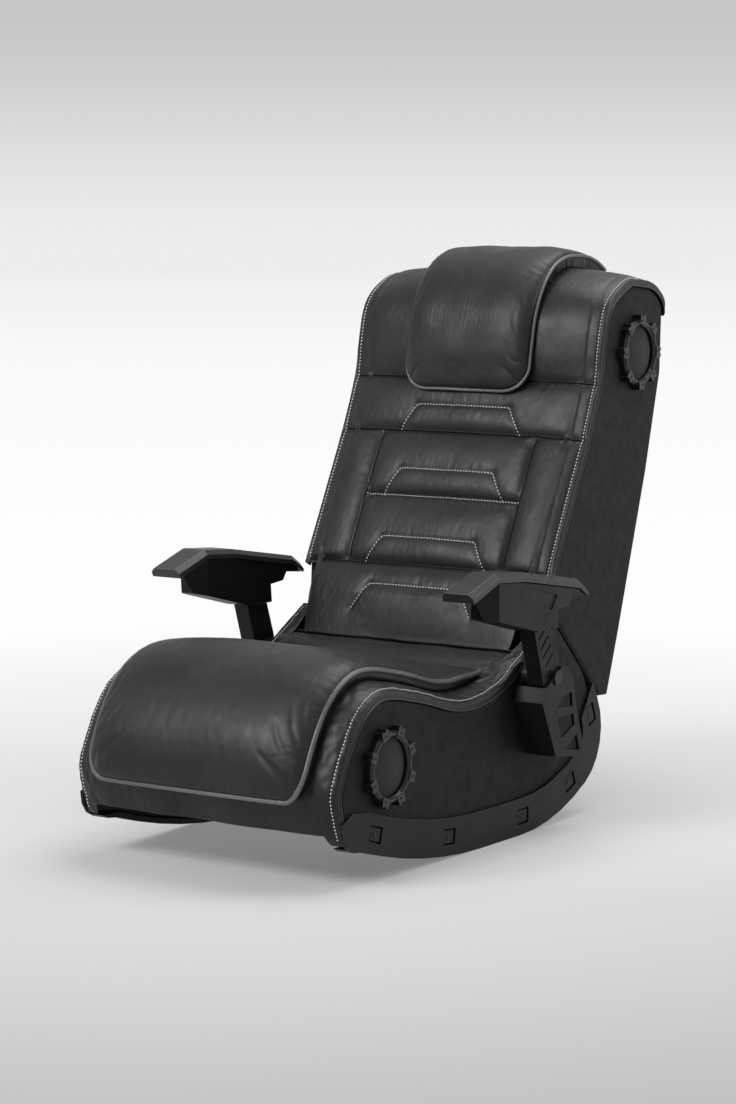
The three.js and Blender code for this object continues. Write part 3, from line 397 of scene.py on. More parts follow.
def carve_grooves(material):
    """Grooves across the arm pad, where the moulding has them: a bump, and painted shade in them.
    """
    tree = material.node_tree
    shader = next(n for n in tree.nodes if n.type == "BSDF_PRINCIPLED")
    along = add(tree, "SeparateXYZ", {0: coordinates(tree)}).outputs["Y"]
    closest = None
    for place in GROOVES:
        gap = maths(tree, "ABSOLUTE", maths(tree, "SUBTRACT", along, place))
        closest = gap if closest is None else maths(tree, "MINIMUM", closest, gap)
    flat = eased(tree, closest, 0.55 * GROOVE_HALF, GROOVE_HALF)
    surface, below = (shader.inputs[key].links[0].from_socket for key in ("Base Color", "Normal"))
    # Painted shade: inside each groove the base colour goes near black.
    feed(shader, {
        "Base Color": tones(tree, flat, GROOVE_SHADE_TONE, surface),
        "Normal": bump(tree, flat, 1.0, GROOVE_HALF, below),
    })
    return material


def cloth(name, tone=(0.0055, 0.0055, 0.006), pitch=1100.0):
    material, tree = new_material(name)
    pores = cells(tree, coordinates(tree), pitch, "F1")
    feed(shader_of(tree, tone, 0.85, sheen=0.12), {
        "Base Color": tones(tree, ramp(tree, pores, 0.15, 0.55), tone, shaded(tone, 2.4)),
        "Normal": bump(tree, pores, 0.6, 0.0003),
    })
    return material


def wood(name):
    material, tree = new_material(name)
    rings = noise(tree, coordinates(tree, (6, 60, 60)), 1.0, 5.0, 0.6)
    feed(shader_of(tree, (0.036, 0.030, 0.024), 0.75), {
        "Base Color": tones(tree, rings, (0.018, 0.015, 0.012), (0.046, 0.038, 0.030)),
        "Normal": bump(tree, rings, 0.3, 0.0006),
    })
    return material


def steel(name):
    material, tree = new_material(name)
    marks = noise(tree, coordinates(tree, (40, 900, 900)), 1.0, 3.0)
    feed(shader_of(tree, (0.045, 0.045, 0.047), 0.42, metallic=1.0), {
        "Roughness": ramp(tree, marks, 0.3, 0.7, 0.28, 0.46),
        "Normal": bump(tree, marks, 0.2, 0.0001),
    })
    return material


finishes = {
    "seat_leather": seat_leather,
    "pad_leather": pad_leather,
    "back_leather": back_leather,
    "pillow_leather": pillow_leather,
    "side_vinyl": vinyl("side_vinyl"),
    "rail_plastic": plastic("rail_plastic", (0.0080, 0.0075, 0.0073), 0.38),
    "bracket_plastic": plastic("bracket_plastic", (0.0072, 0.0068, 0.0066), 0.42),
    "arm_plastic": plastic("arm_plastic", (0.0058, 0.0052, 0.0048), 0.44),
    "arm_pad": carve_grooves(
        plastic("arm_pad", (0.0200, 0.0192, 0.0188), 0.34, 1300.0, 0.00016, 0.0016, 1.46)),
    "driver_plastic": plastic("driver_plastic"),
    "control_plastic": plastic("control_plastic", (0.018, 0.018, 0.019), 0.55),
    "speaker_bezel": plastic(
        "speaker_bezel", (0.0085, 0.0085, 0.0088), 0.22, 900.0, 0.00005, 0.0010, 1.45),
    "knob_plastic": plastic("knob_plastic", (0.02, 0.02, 0.021), 0.28, 900.0, 0.00004, 0.0006),
    "grille_cloth": cloth("grille_cloth"),
    "board": wood("board"),
    "steel": steel("steel"),
}
for part in frame["record"]["subparts"]:
    mesh = nodes[part["node"]].data
    mesh.materials.clear()
    mesh.materials.append(finishes[part["material_slot"]])

# %% [markdown]
# ## Where the leather lies
# Two side-view curves carry all the leather: the seat's edge, from the nose to the wing beside the
# fold, and the back's face, from the crease up and over the top. Both run through a few points,
# given as shares of the seat's depth and height or of the back's depth and length. A place on a
# cover is then a way across the chair, a run along its curve and a height above it.

# %% Side-view curves
joints = {joint["name"]: joint for joint in frame["record"]["behaviour"]["joints"]}
FOLD = Vector(joints["backrest_fold"]["pos_m"])
(INNER, _, _), (HALF, _, _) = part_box("back_side_left")
SEAT_DEPTH = 622 * MM
BACK_DEPTH = 219 * MM
BACK_LENGTH = 620 * MM
RECLINE = math.radians(24)
SEAT_SHARES = [
    (-0.965, 0.19), (-0.982, 0.268), (-1, 0.418), (-0.976, 0.538), (-0.934, 0.671),
    (-0.878, 0.779), (-0.791, 0.832), (-0.637, 0.782), (-0.476, 0.703), (-0.36, 0.694),
    (-0.24, 0.747), (-0.153, 0.844),
]
BACK_SHARES = [
    (-0.215, -0.12), (-0.16, 0.108), (-0.1, 0.484), (-0.112, 0.648), (-0.164, 0.728),
    (-0.209, 0.823), (-0.156, 0.889), (0, 0.955), (0.11, 0.975), (0.34, 1), (0.5, 0.997),
    (0.6, 0.98),
]
BACK_HEEL_SHARE = (0.619, 0.9435)


class Curve:
    """A smooth side-view curve through a few points, read by its own length."""

    STEPS = 60

    def __init__(self, points):
        points = np.array(points, float)
        padded = np.vstack([points[:1], points, points[-1:]])
        t = np.linspace(0, 1, self.STEPS, endpoint=False)[:, None]
        spans = []
        for a, b, c, d in zip(padded, padded[1:], padded[2:], padded[3:]):
            lead = (c - a) / 2
            leave = (d - b) / 2
            spans.append(b + lead * t + (3 * (c - b) - 2 * lead - leave) * t**2
                         + (2 * (b - c) + lead + leave) * t**3)
        self.points = np.vstack([*spans, points[-1:]])
        runs = np.linalg.norm(np.diff(self.points, axis=0), axis=1)
        self.run = np.concatenate([[0], np.cumsum(runs)])
        self.length = self.run[-1]

    def at(self, run):
        return np.stack([np.interp(run, self.run, self.points[:, i]) for i in (0, 1)], -1)

    def normal(self, run):
        step = 2 * MM
        along = self.at(np.minimum(run + step, self.length)) - self.at(np.maximum(run - step, 0))
        along /= np.linalg.norm(along, axis=-1, keepdims=True)
        return np.stack([-along[..., 1], along[..., 0]], -1)

    def run_at_height(self, height):
        above = np.nonzero(self.points[:, 1] >= height)[0]
        return float(self.run[above[0]])


def sized(shares, depth, height):
    return Curve([(d * depth, h * height) for d, h in shares])


seat_edge = sized(SEAT_SHARES, SEAT_DEPTH, FOLD.z)
seat_rim = sized([*SEAT_SHARES, (0, 1)], SEAT_DEPTH, FOLD.z)
back_face = sized(BACK_SHARES, BACK_DEPTH, BACK_LENGTH)
back_wrap = sized([*BACK_SHARES, BACK_HEEL_SHARE], BACK_DEPTH, BACK_LENGTH)


def seat_place(x, run, height):
    flat = seat_rim.at(run) + seat_rim.normal(run) * np.asarray(height)[..., None]
    return np.stack([x, flat[..., 0] + FOLD.y, flat[..., 1]], -1)


def back_place(x, run, height):
    flat = back_wrap.at(run) + back_wrap.normal(run) * np.asarray(height)[..., None]
    rear = flat[..., 0] * math.cos(RECLINE) + flat[..., 1] * math.sin(RECLINE)
    up = flat[..., 1] * math.cos(RECLINE) - flat[..., 0] * math.sin(RECLINE)
    return np.stack([x, rear + FOLD.y, up + FOLD.z], -1)


print("seat curve %.3f m, back curve %.3f m" % (seat_edge.length, back_face.length))

# %% [markdown]
# ## Folds, puckers and swells
# Leather over foam is never smooth. It swells between seams, puckers where a needle has drawn it
# in, and creases where it bends. Each of these is a small function of two lengths on the cover,
# so a fold is real geometry and shows in the outline as well as in the light. Their sizes are
# given in millimetres: a groove's depth and width, the puckers' depth, pitch and reach, a crease's
# depth, width and bend, and the height and pitch of slow hills.


# %% Shapes of soft leather
def swell(t):
    return np.sqrt(np.clip(1 - np.asarray(t, float) ** 4, 0, 1))


def dome(t):
    return np.clip(1 - np.asarray(t, float) ** 2, 0, 1)


def smooth(t):
    t = np.clip(t, 0, 1)
    return t * t * (3 - 2 * t)


def past(value, start, span):
    """0 up to the start, 1 after the span."""
    return smooth((value - start) / span)


def drift(a, b, pitch, seed, count=14):
    """Slow unevenness of about -1 to 1, whose waves are about a pitch long."""
    pick = np.random.default_rng(seed)
    total = np.zeros(np.broadcast(a, b).shape)
    for _ in range(count):
        turn = pick.uniform(0, math.tau)
        wave = pitch * pick.uniform(0.7, 1.7)
        phase = pick.uniform(0, math.tau)
        total += np.sin(math.tau * (a * math.cos(turn) + b * math.sin(turn)) / wave + phase)
    return total / math.sqrt(count)


def hills(a, b, size, seed):
    height, pitch = (MM * v for v in size)
    return height * drift(a, b, pitch, seed)


def groove(gap, size):
    """A drawn-in seam, with a sharp bottom and soft shoulders."""
    depth, width = (MM * v for v in size)
    blunt = 0.12 * width
    return depth * np.exp(-(np.sqrt(gap**2 + blunt**2) - blunt) / width)


def puckers(along, away, size, seed):
    """Short creases square to a seam, deepest at the needle holes."""
    depth, pitch, reach = (MM * v for v in size)
    wander = drift(along, 0, pitch * 3.1, seed, 8)
    lean = drift(along, away, pitch * 5, seed + 1, 6)
    phase = math.pi * along / pitch + 1.3 * wander + 0.7 * lean * np.abs(away) / reach
    sharp = (1 - np.abs(np.sin(phase))) ** 2.2
    strong = 0.62 + 0.38 * drift(along, away, pitch * 4, seed + 2, 6)
    fade = np.exp(-((np.abs(away) / reach) ** 1.3))
    return sharp * np.clip(strong, 0.1, 1.3) * fade * depth


def line_gap(a, b, start, end):
    """How far a place is from a straight line between two places, and how far along it."""
    start = np.array(start, float)
    run = np.array(end, float) - start
    length = np.linalg.norm(run)
    run /= length
    along = (a - start[0]) * run[0] + (b - start[1]) * run[1]
    away = -(a - start[0]) * run[1] + (b - start[1]) * run[0]
    beyond = np.maximum(0, np.maximum(-along, along - length))
    return np.sqrt(away**2 + beyond**2), np.clip(along / length, 0, 1), away


def ray(hand, turn):
    """A direction on a cover, turned by degrees from straight out on that hand."""
    angle = math.radians(turn)
    return np.array((hand * math.cos(angle), math.sin(angle)))


def crease(a, b, start, way, size):
    """One long fold from a place on the cover, tapered to its ends."""
    depth, width, bend = (MM * v for v in size)
    _, share, away = line_gap(a, b, start, start + way)
    away = away - bend * 4 * share * (1 - share)
    taper = np.clip(np.sin(math.pi * share), 0, 1) ** 0.6
    return taper * np.exp(-((away / width) ** 2)) * depth


print("a groove of 9 by 8 mm is %.1f mm deep 4 mm off its line" % (groove(4 * MM, (9, 8)) / MM))

# %% [markdown]
# ## Letting leather settle
# A cover is cut a little wider than the foam, held along its seams, and pushed out by the foam.
# Blender's cloth does the same to a coarse net: its rest lengths are stretched across the chair,
# its seams are pinned and a gentle pressure lifts the rest, so it buckles into folds that run up
# the cover. The movement is capped, and a finer net then takes it over by smooth interpolation.


# %% Cloth
SETTLE_FRAMES = 18
LEATHER_THICKNESS = 1.6 * MM


def net_mesh(name, columns, rows, points):
    form = bmesh.new()
    form.loops.layers.uv.new("UVMap")
    bmesh.ops.create_grid(form, x_segments=columns, y_segments=rows, size=1, calc_uvs=True)
    for vert, spot in zip(form.verts, points.reshape(-1, 3)):
        vert.co = spot
    form.normal_update()
    return mesh_from(name, form)


def points_of(mesh):
    flat = np.empty(len(mesh.vertices) * 3)
    mesh.vertices.foreach_get("co", flat)
    return flat.reshape(-1, 3)


def settle(points, held, widen, pressure, cap):
    """How far each point of a coarse net moves when it is let go as cloth."""
    rows, columns = held.shape
    sheet = placed("settling", net_mesh("settling", columns - 1, rows - 1, points))
    sheet.shape_key_add(name="as fitted")
    cut = sheet.shape_key_add(name="as cut")
    wide = points.reshape(-1, 3) * np.array([1 + widen, 1 + widen / 3, 1 + widen / 3])
    cut.data.foreach_set("co", wide.ravel())
    pins = sheet.vertex_groups.new(name="pins")
    pins.add([int(i) for i in np.nonzero(held.ravel())[0]], 1.0, "REPLACE")
    cloth = sheet.modifiers.new("cloth", "CLOTH")
    rules = cloth.settings
    rules.quality = 5
    rules.mass = 0.3
    rules.tension_stiffness = 15
    rules.compression_stiffness = 15
    rules.shear_stiffness = 5
    rules.bending_stiffness = 0.6
    rules.vertex_group_mass = "pins"
    rules.rest_shape_key = cut
    rules.use_pressure = True
    rules.uniform_pressure_force = pressure
    rules.effector_weights.gravity = 0
    cloth.collision_settings.use_collision = False
    for moment in range(1, SETTLE_FRAMES + 1):
        scene.frame_set(moment)
    shown = sheet.evaluated_get(bpy.context.evaluated_depsgraph_get())
    moved = points_of(shown.to_mesh()) - points.reshape(-1, 3)
    shown.to_mesh_clear()
    bpy.data.objects.remove(sheet)
    scene.frame_set(1)
    size = np.linalg.norm(moved, axis=1, keepdims=True)
    moved *= cap * np.tanh(size / cap) / np.maximum(size, 1e-9)
    return moved.reshape(points.shape)


def refine(values, count, axis):
    """Smooth interpolation of a coarse net's values to more places along one axis."""
    values = np.moveaxis(values, axis, 0)
    last = len(values) - 1
    at = np.linspace(0, last, count)
    i = np.minimum(at.astype(int), last - 1)
    t = (at - i).reshape(-1, *[1] * (values.ndim - 1))
    p0 = values[np.maximum(i - 1, 0)]
    p1 = values[i]
    p2 = values[i + 1]
    p3 = values[np.minimum(i + 2, last)]
    curl = 2 * p0 - 5 * p1 + 4 * p2 - p3 + t * (3 * (p1 - p2) + p3 - p0)
    return np.moveaxis(p1 + t / 2 * (p2 - p0 + t * curl), 0, axis)


def net_of(columns, rows):
    """A net's own coordinates: -1 to 1 across, 0 to 1 along."""
    return np.meshgrid(np.linspace(-1, 1, columns + 1), np.linspace(0, 1, rows + 1))


def leather_sheet(name, mesh, finish):
    """Leather of its real thickness, which grows inwards from its net."""
    mesh.materials.append(finish)
    mesh.shade_smooth()
    sheet = placed(name, mesh)
    shell = sheet.modifiers.new("thickness", "SOLIDIFY")
    shell.thickness = LEATHER_THICKNESS
    shell.offset = -1
    return sheet


class Cover:
    """A net of leather: where each of its points lies, before and after it has settled."""

    def __init__(self, place, coarse, fine, held, widen, pressure, cap):
        columns, rows = coarse
        a, b = net_of(columns, rows)
        moved = settle(place(a, b), held(a, b, 1.6 / rows), widen, pressure, cap)
        self.most_moved = float(np.abs(moved).max())
        self.columns, self.rows = fine
        moved = refine(refine(moved, self.rows + 1, 0), self.columns + 1, 1)
        self.points = place(*net_of(*fine)) + moved

    def at(self, a, b):
        """Places on the finished cover."""
        u = np.clip((np.asarray(a, float) + 1) / 2, 0, 1) * self.columns
        v = np.clip(np.asarray(b, float), 0, 1) * self.rows
        i = np.minimum(u.astype(int), self.columns - 1)
        j = np.minimum(v.astype(int), self.rows - 1)
        s = (u - i)[..., None]
        t = (v - j)[..., None]
        low = self.points[j, i] * (1 - s) + self.points[j, i + 1] * s
        high = self.points[j + 1, i] * (1 - s) + self.points[j + 1, i + 1] * s
        return low * (1 - t) + high * t

    def up(self, a, b):
        """The cover's outward direction there."""
        da = 2.5 / self.columns
        db = 1.5 / self.rows
        across = self.at(a + da, b) - self.at(a - da, b)
        along = self.at(a, b + db) - self.at(a, b - db)
        out = np.cross(across, along)
        return out / np.linalg.norm(out, axis=-1, keepdims=True)

    def mesh(self, name):
        return net_mesh(name, self.columns, self.rows, self.points)


print("cloth runs for", SETTLE_FRAMES, "frames")

# %% [markdown]
# ## Thread and piping
# The chair is sewn with a thick off-white thread, whose stitches show as short fat beads, and its
# edges carry a cord rolled in leather. A bead is a small ball pulled long, laid along the surface.
# The piping is a round cord swept along its seam.

# %% Thread and piping
STITCH_PITCH = 5.8 * MM
STITCH_LENGTH = 3.7 * MM
THREAD_RADIUS = 1.05 * MM
THREAD_PROUD = 0.35
BEAD_FACES = 24


def thread_finish():
    material, tree = new_material("thread")
    plies = noise(tree, coordinates(tree, (1800, 1800, 1800)), 1.0, 2.0)
    feed(shader_of(tree, (0.80, 0.79, 0.76), 0.6, sheen=0.2), {
        "Base Color": tones(tree, plies, (0.62, 0.61, 0.58), (0.88, 0.87, 0.84)),
        "Normal": bump(tree, plies, 0.5, 0.0002),
    })
    return material


thread = thread_finish()
# The piping's leather has a far lighter base than the leather around it: a painted highlight along
# the glossy cord.
piping_painted_highlight = leather("piping_painted_highlight", (0.085, 0.083, 0.080), (0.135, 0.132, 0.128), 0.30, 1.5)
welt_leather = leather("welt_leather", (0.010, 0.0095, 0.009), (0.018, 0.0175, 0.017), 0.38, 1.5)
# A near-black, matte leather for cords in the seams' grooves: painted shade.
painted_seam_shade = leather("painted_seam_shade", (0.0012, 0.0011, 0.001), (0.002, 0.0019, 0.0018), 0.8, 1.2)


def even_steps(points, pitch):
    """Places and directions every pitch along a line of points."""
    runs = np.linalg.norm(np.diff(points, axis=0), axis=1)
    run = np.concatenate([[0], np.cumsum(runs)])
    count = max(2, int(run[-1] / pitch))
    stops = (np.arange(count) + 0.5) * run[-1] / count
    spots, ahead, behind = (
        np.stack([np.interp(stops + move, run, points[:, i]) for i in range(3)], -1)
        for move in (0, pitch / 4, -pitch / 4))
    return spots, ahead - behind


def sew(name, lines, body):
    """One piece of thread: beads along each line, which is points and outward directions."""
    form = bmesh.new()
    radius = THREAD_RADIUS
    size = Matrix.Diagonal((STITCH_LENGTH / 2, radius, radius, 1))
    for points, ups in lines:
        spots, ways = even_steps(points, STITCH_PITCH)
        nearest = np.linspace(0, len(ups) - 1, len(spots)).astype(int)
        for spot, way, up in zip(spots, ways, ups[nearest]):
            along = Vector(way).normalized()
            side = Vector(up).cross(along).normalized()
            over = along.cross(side)
            turn = Matrix((along, side, over)).transposed().to_4x4()
            move = Matrix.Translation(Vector(spot) + over * radius * THREAD_PROUD)
            bmesh.ops.create_uvsphere(form, u_segments=6, v_segments=4, radius=1,
                                      matrix=move @ turn @ size)
    mesh = mesh_from(name, form)
    mesh.materials.append(thread)
    mesh.shade_smooth()
    stitches = placed(name, mesh)
    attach(stitches, body)
    return stitches


def cord_along(name, points, radius, finish, body, sides=4):
    """A round cord swept along a line of points, made a mesh."""
    path = bpy.data.curves.new(name, "CURVE")
    path.dimensions = "3D"
    path.bevel_depth = radius
    path.bevel_resolution = sides
    path.use_fill_caps = True
    spline = path.splines.new("POLY")
    spline.points.add(len(points) - 1)
    spline.points.foreach_set("co", np.hstack([points, np.ones((len(points), 1))]).ravel())
    guide = placed(name + "_path", path)
    shown = guide.evaluated_get(bpy.context.evaluated_depsgraph_get())
    mesh = bpy.data.meshes.new_from_object(shown)
    bpy.data.objects.remove(guide)
    mesh.materials.clear()
    mesh.materials.append(finish)
    mesh.shade_smooth()
    cord = placed(name, mesh)
    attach(cord, body)


print("a stitch every %.1f mm" % (STITCH_PITCH / MM))

# %% [markdown]
# ## The back cover
# One cover runs from the crease up the back and over its top, and rolls over the side panels'
# edges. Four seams cross it, two bolster seams run up it, and four stitched outlines, each wider
# at its foot, stand on the seams. The seams have the heights of the foam's own channels.

# %% Back cover
ROLL = 10 * MM
ROLL_SHARE = 0.945
BACK_CROWN = 15 * MM
EDGE_CROWN = 6 * MM
TOP_FALL = 34 * MM
CHANNEL_SWELL = 4 * MM
BOLSTER = 152 * MM
BOLSTER_SWELL = 3 * MM
BOLSTER_REACH = 38 * MM
BOLSTER_BLEND = 6 * MM
SEAM_SHARES = (0.089, 0.29, 0.484, 0.64)
SIDE_FOOT = 49 * MM
FOOT_ROLL = 8 * MM
FOOT_ROLL_RUN = 45 * MM
TOP_ROLL_RUN = 26 * MM
TOP_ROLL_SHARE = 0.12
EDGE_INSET = 7.5 * MM
EDGE_HELD = 9 * MM
SEAM_GROOVE = (9, 8)
BOLSTER_GROOVE = (7.2, 6.4)
OUTLINE_GROOVE = (2.8, 5)
EDGE_GROOVE = (1.8, 2.5)
SEAM_PUCKERS = (1.2, 17, 26)
BOLSTER_PUCKERS = (0.8, 17, 16)
PUCKERS_OVER = (1.5, 10, 24)
PUCKERS_UNDER = (0.8, 9, 15)
BACK_HILLS = (0.6, 90)
BACK_RIPPLES = (0.10, 22)
seam_runs = [back_face.run_at_height(share * BACK_LENGTH) for share in SEAM_SHARES]
side_foot_run = back_face.run_at_height(SIDE_FOOT)
OUTLINE_FOOT = 118 * MM
OUTLINE_TOP = 91 * MM
OUTLINE_RISE = 46 * MM
CREASE_RUN = 46 * MM
outline_feet = [CREASE_RUN, *seam_runs[:3]]


def outline_corners(foot):
    top = foot + OUTLINE_RISE
    return [(-OUTLINE_FOOT, foot), (-OUTLINE_TOP, top), (OUTLINE_TOP, top), (OUTLINE_FOOT, foot)]


def across_cover(a):
    """A place across the chair, and the share of the way down the side panel's edge."""
    top = np.clip(np.abs(a) / ROLL_SHARE, 0, 1)
    down = np.clip((np.abs(a) - ROLL_SHARE) / (1 - ROLL_SHARE), 0, 1)
    x = HALF * np.sin(top * math.pi / 2) + 1.2 * MM * np.sin(math.pi * down)
    return np.sign(a) * x, down


def over_side(x):
    """0 between the side panels, 1 over them."""
    return past(np.abs(x), INNER - 17 * MM, 16 * MM)


def back_roll(run):
    """How far the leather is turned down over the side panel."""
    foot = FOOT_ROLL * (1 - past(run, side_foot_run, FOOT_ROLL_RUN))
    top = smooth((back_wrap.length - run) / TOP_ROLL_RUN)
    return (ROLL + foot) * (TOP_ROLL_SHARE + (1 - TOP_ROLL_SHARE) * top)


def share_across(x):
    """The net's own coordinate for a place across the chair, on its top side."""
    return np.sign(x) * ROLL_SHARE * np.arcsin(np.clip(np.abs(x) / HALF, 0, 1)) / (math.pi / 2)


def back_height(x, run):
    across = np.abs(x)
    start = np.minimum(1, run / (0.12 * BACK_LENGTH))
    shoulder = swell(np.clip(across / HALF, 0, 1))
    middle = dome(np.minimum(across / INNER, 1)) ** 0.5
    height = (EDGE_CROWN * shoulder + (BACK_CROWN - EDGE_CROWN) * middle) * start
    inner = 1 - past(across, BOLSTER - BOLSTER_BLEND, BOLSTER_BLEND)
    stops = [0, *seam_runs, back_face.length]
    long_stops = [0, seam_runs[0], *seam_runs[2:], back_face.length]
    for places, share in ((stops, inner), (long_stops, 1 - inner)):
        for low, high in zip(places, places[1:]):
            full = CHANNEL_SWELL * dome(2 * (run - low) / (high - low) - 1) ** 0.7 * shoulder
            height += np.where((run >= low) & (run <= high), full, 0) * start * share
    for i, seam in enumerate(seam_runs):
        wide = inner if i == 1 else shoulder
        height -= groove(run - seam, SEAM_GROOVE) * wide
        height -= puckers(x, run - seam, SEAM_PUCKERS, 30 + i) * wide
    beside = across - BOLSTER
    bolster = past(run, seam_runs[0], 8 * MM) * smooth((seam_runs[2] - run) / (8 * MM))
    height -= groove(beside, BOLSTER_GROOVE) * bolster
    roll = np.clip((across - (BOLSTER + HALF) / 2) / BOLSTER_REACH, -1, 1)
    height += BOLSTER_SWELL * dome(roll) * bolster
    height -= puckers(run, beside, BOLSTER_PUCKERS, 51) * bolster
    for i, foot in enumerate(outline_feet):
        corners = outline_corners(foot)
        for low, high in zip(corners, corners[1:]):
            height -= groove(line_gap(x, run, low, high)[0], OUTLINE_GROOVE)
        above = run - corners[1][1]
        near = 1 - past(across, OUTLINE_TOP, 14 * MM)
        over = puckers(x, np.maximum(above, 0), PUCKERS_OVER, 70 + i)
        under = puckers(x, np.minimum(above, 0), PUCKERS_UNDER, 80 + i)
        height -= np.where(above > 0, over, under) * near
    height -= groove(HALF - across - EDGE_INSET, EDGE_GROOVE)
    height += hills(x, run, BACK_HILLS, 5) * shoulder
    height += hills(x * 2.2, run * 0.9, BACK_RIPPLES, 6)
    return height * smooth((back_wrap.length - run) / TOP_FALL)


def back_run(x, b):
    """The run along the back's face; over the side panels the cover starts higher up."""
    start = side_foot_run * over_side(x)
    return start + b * (back_wrap.length - start)


def back_cover_place(a, b):
    x, down = across_cover(a)
    run = back_run(x, b)
    height = np.where(down > 0, 0, back_height(x, run))
    return back_place(x, run, height - down * back_roll(run))


def back_held(a, b, reach):
    x, _ = across_cover(a)
    run = back_run(x, b)
    near = reach * back_face.length * 0.7
    held = (np.abs(x) > HALF - EDGE_HELD) | (b < reach) | (b > 1 - 2 * reach)
    for i, seam in enumerate(seam_runs):
        inside = np.abs(x) < (BOLSTER if i == 1 else HALF)
        held |= (np.abs(run - seam) < near) & inside
    held |= (np.abs(np.abs(x) - BOLSTER) < near) & (run > seam_runs[0]) & (run < seam_runs[2])
    for foot in outline_feet:
        corners = outline_corners(foot)
        for low, high in zip(corners, corners[1:]):
            held |= line_gap(x, run, low, high)[0] < near * 0.8
    return held


back_net = Cover(back_cover_place, coarse=(110, 140), fine=(230, 320), held=back_held,
                 widen=0.035, pressure=1.2, cap=6 * MM)
back_cover = leather_sheet("back_cover", back_net.mesh("back_cover"), back_leather)
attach(back_cover, "backrest")
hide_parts("back_cushion", "back_border_left", "back_border_right")
print("back cover settled by up to %.1f mm" % (back_net.most_moved / MM))

# %% Back stitches and welts
def line_on_back(places, count=200):
    """A line of points on the back cover through places across and along it."""
    places = np.array(places, float)
    t = np.linspace(0, len(places) - 1, count)
    x = np.interp(t, range(len(places)), places[:, 0])
    run = np.interp(t, range(len(places)), places[:, 1])
    start = side_foot_run * over_side(x)
    b = (run - start) / (back_wrap.length - start)
    a = share_across(x)
    return back_net.at(a, b), back_net.up(a, b)


back_lines = []
for foot in outline_feet:
    corners = outline_corners(foot)
    for low, high in zip(corners, corners[1:]):
        back_lines.append(line_on_back([low, high], 60))
back_lines.append(line_on_back([(-BOLSTER, seam_runs[1]), (BOLSTER, seam_runs[1])]))
EDGE_STITCH = HALF - EDGE_INSET
edge_low, edge_high = side_foot_run + 8 * MM, back_face.length - 6 * MM
for hand in (-1, 1):
    x = hand * EDGE_STITCH
    back_lines.append(line_on_back([(x, edge_low), (x, edge_high)], 400))
back_stitches = sew("back_stitches", back_lines, "backrest")
SEAM_SHADE_CORD = 1.25 * MM
WELT_RADIUS = 1.7 * MM
WELT_PROUD = 0.6 * MM
# Dark cords lying in the seam grooves: painted shade where the seams are drawn in.
for i, seam in enumerate(seam_runs):
    if i != 1:
        reach = HALF - EDGE_HELD
        line = line_on_back([(-reach, seam), (reach, seam)])[0]
        cord_along("back_seam_shade_%d" % i, line, SEAM_SHADE_CORD, painted_seam_shade, "backrest", 2)
for hand, side in SIDES:
    x = hand * BOLSTER
    # A dark cord in the bolster seam: painted shade.
    line = line_on_back([(x, seam_runs[0]), (x, seam_runs[2])])[0]
    cord_along("bolster_seam_shade_" + side, line, SEAM_SHADE_CORD * 0.8, painted_seam_shade, "backrest", 2)
    runs = np.linspace(side_foot_run + 2 * MM, back_wrap.length - 3 * MM, 260)
    x = np.full(runs.shape, hand * (HALF + WELT_PROUD))
    line = back_place(x, runs, WELT_PROUD - back_roll(runs))
    cord_along("back_welt_" + side, line, WELT_RADIUS, welt_leather, "backrest")
print("back stitches", len(back_stitches.data.polygons) // BEAD_FACES)

# %% [markdown]
# ## The seat cover
# The seat's leather climbs the nose, dips in the saddle and rises to the wings beside the fold. It
# is rolled over the side panels' edges and stitched there. Pleats fan out from the end of the
# crease, where the leather turns up to the wing.

# %% Seat cover
SEAT_CROWN = 20 * MM
FOAM_START = 0.032
SIDE_START = 0.004
WING_END = 0.978
PLEAT_TURNS = (-96, -112, -128, -146, -164)
PLEAT_ACROSS = 214 * MM
PLEAT_DEPTH = 2.6
SEAT_PUCKERS = (0.9, 14, 12)
SEAT_HILLS = (1.0, 60)
SEAT_RIPPLES = (0.4, 22)
APRON_END = 0.09
APRON_HILLS = (2.4, 120)
APRON_PUCKERS = (1.0, 22, 40)
PAD_REST = 192 * MM
wing_length = WING_END * seat_rim.length
pleat_run = seat_edge.length - 30 * MM


def seat_rise(x, run):
    share = np.clip(run / seat_edge.length, 0, 1)
    return SEAT_CROWN * swell(np.clip(np.abs(x) / HALF, 0, 1)) * swell(2 * share - 1)


def seat_height(x, run):
    height = seat_rise(x, run)
    across = np.abs(x)
    share = run / seat_edge.length
    for hand in (-1, 1):
        for i, turn in enumerate(PLEAT_TURNS):
            reach = (82 - 8 * abs(i - 2)) * MM
            out = ray(hand, turn)
            start = np.array((hand * PLEAT_ACROSS, pleat_run)) + 8 * MM * out
            height -= crease(x, run, start, reach * out, (PLEAT_DEPTH, 4 + i, 5 * hand))
    edge = HALF - across
    ends = swell(np.clip(2 * share - 1, -1, 1))
    height -= groove(edge - EDGE_INSET, EDGE_GROOVE) * ends
    height -= puckers(run, edge, SEAT_PUCKERS, 91)
    shoulder = swell(np.clip(across / HALF, 0, 1))
    bare = past(across, PAD_REST - 2 * MM, 12 * MM)
    height += bare * hills(x, run, SEAT_HILLS, 15) * shoulder
    height += bare * hills(x * 1.6, run, SEAT_RIPPLES, 16)
    apron = 1 - past(share, APRON_END, 0.04)
    height += apron * hills(x, run * 0.4, APRON_HILLS, 17) * shoulder
    height -= apron * puckers(x, seat_edge.length * 0.10 - run, APRON_PUCKERS, 95)
    return height


def seat_run(x, b):
    """The run along the seat's edge; over the side panels it goes on up the wing."""
    side = past(np.abs(x), INNER - 4 * MM, 8 * MM)
    start = (FOAM_START * (1 - side) + SIDE_START * side) * seat_edge.length
    end = seat_edge.length * (1 - side) + wing_length * side
    return start + b * (end - start)


def seat_cover_place(a, b):
    x, down = across_cover(a)
    run = seat_run(x, b)
    height = np.where(down > 0, 0, seat_height(x, run))
    return seat_place(x, run, height - down * ROLL)


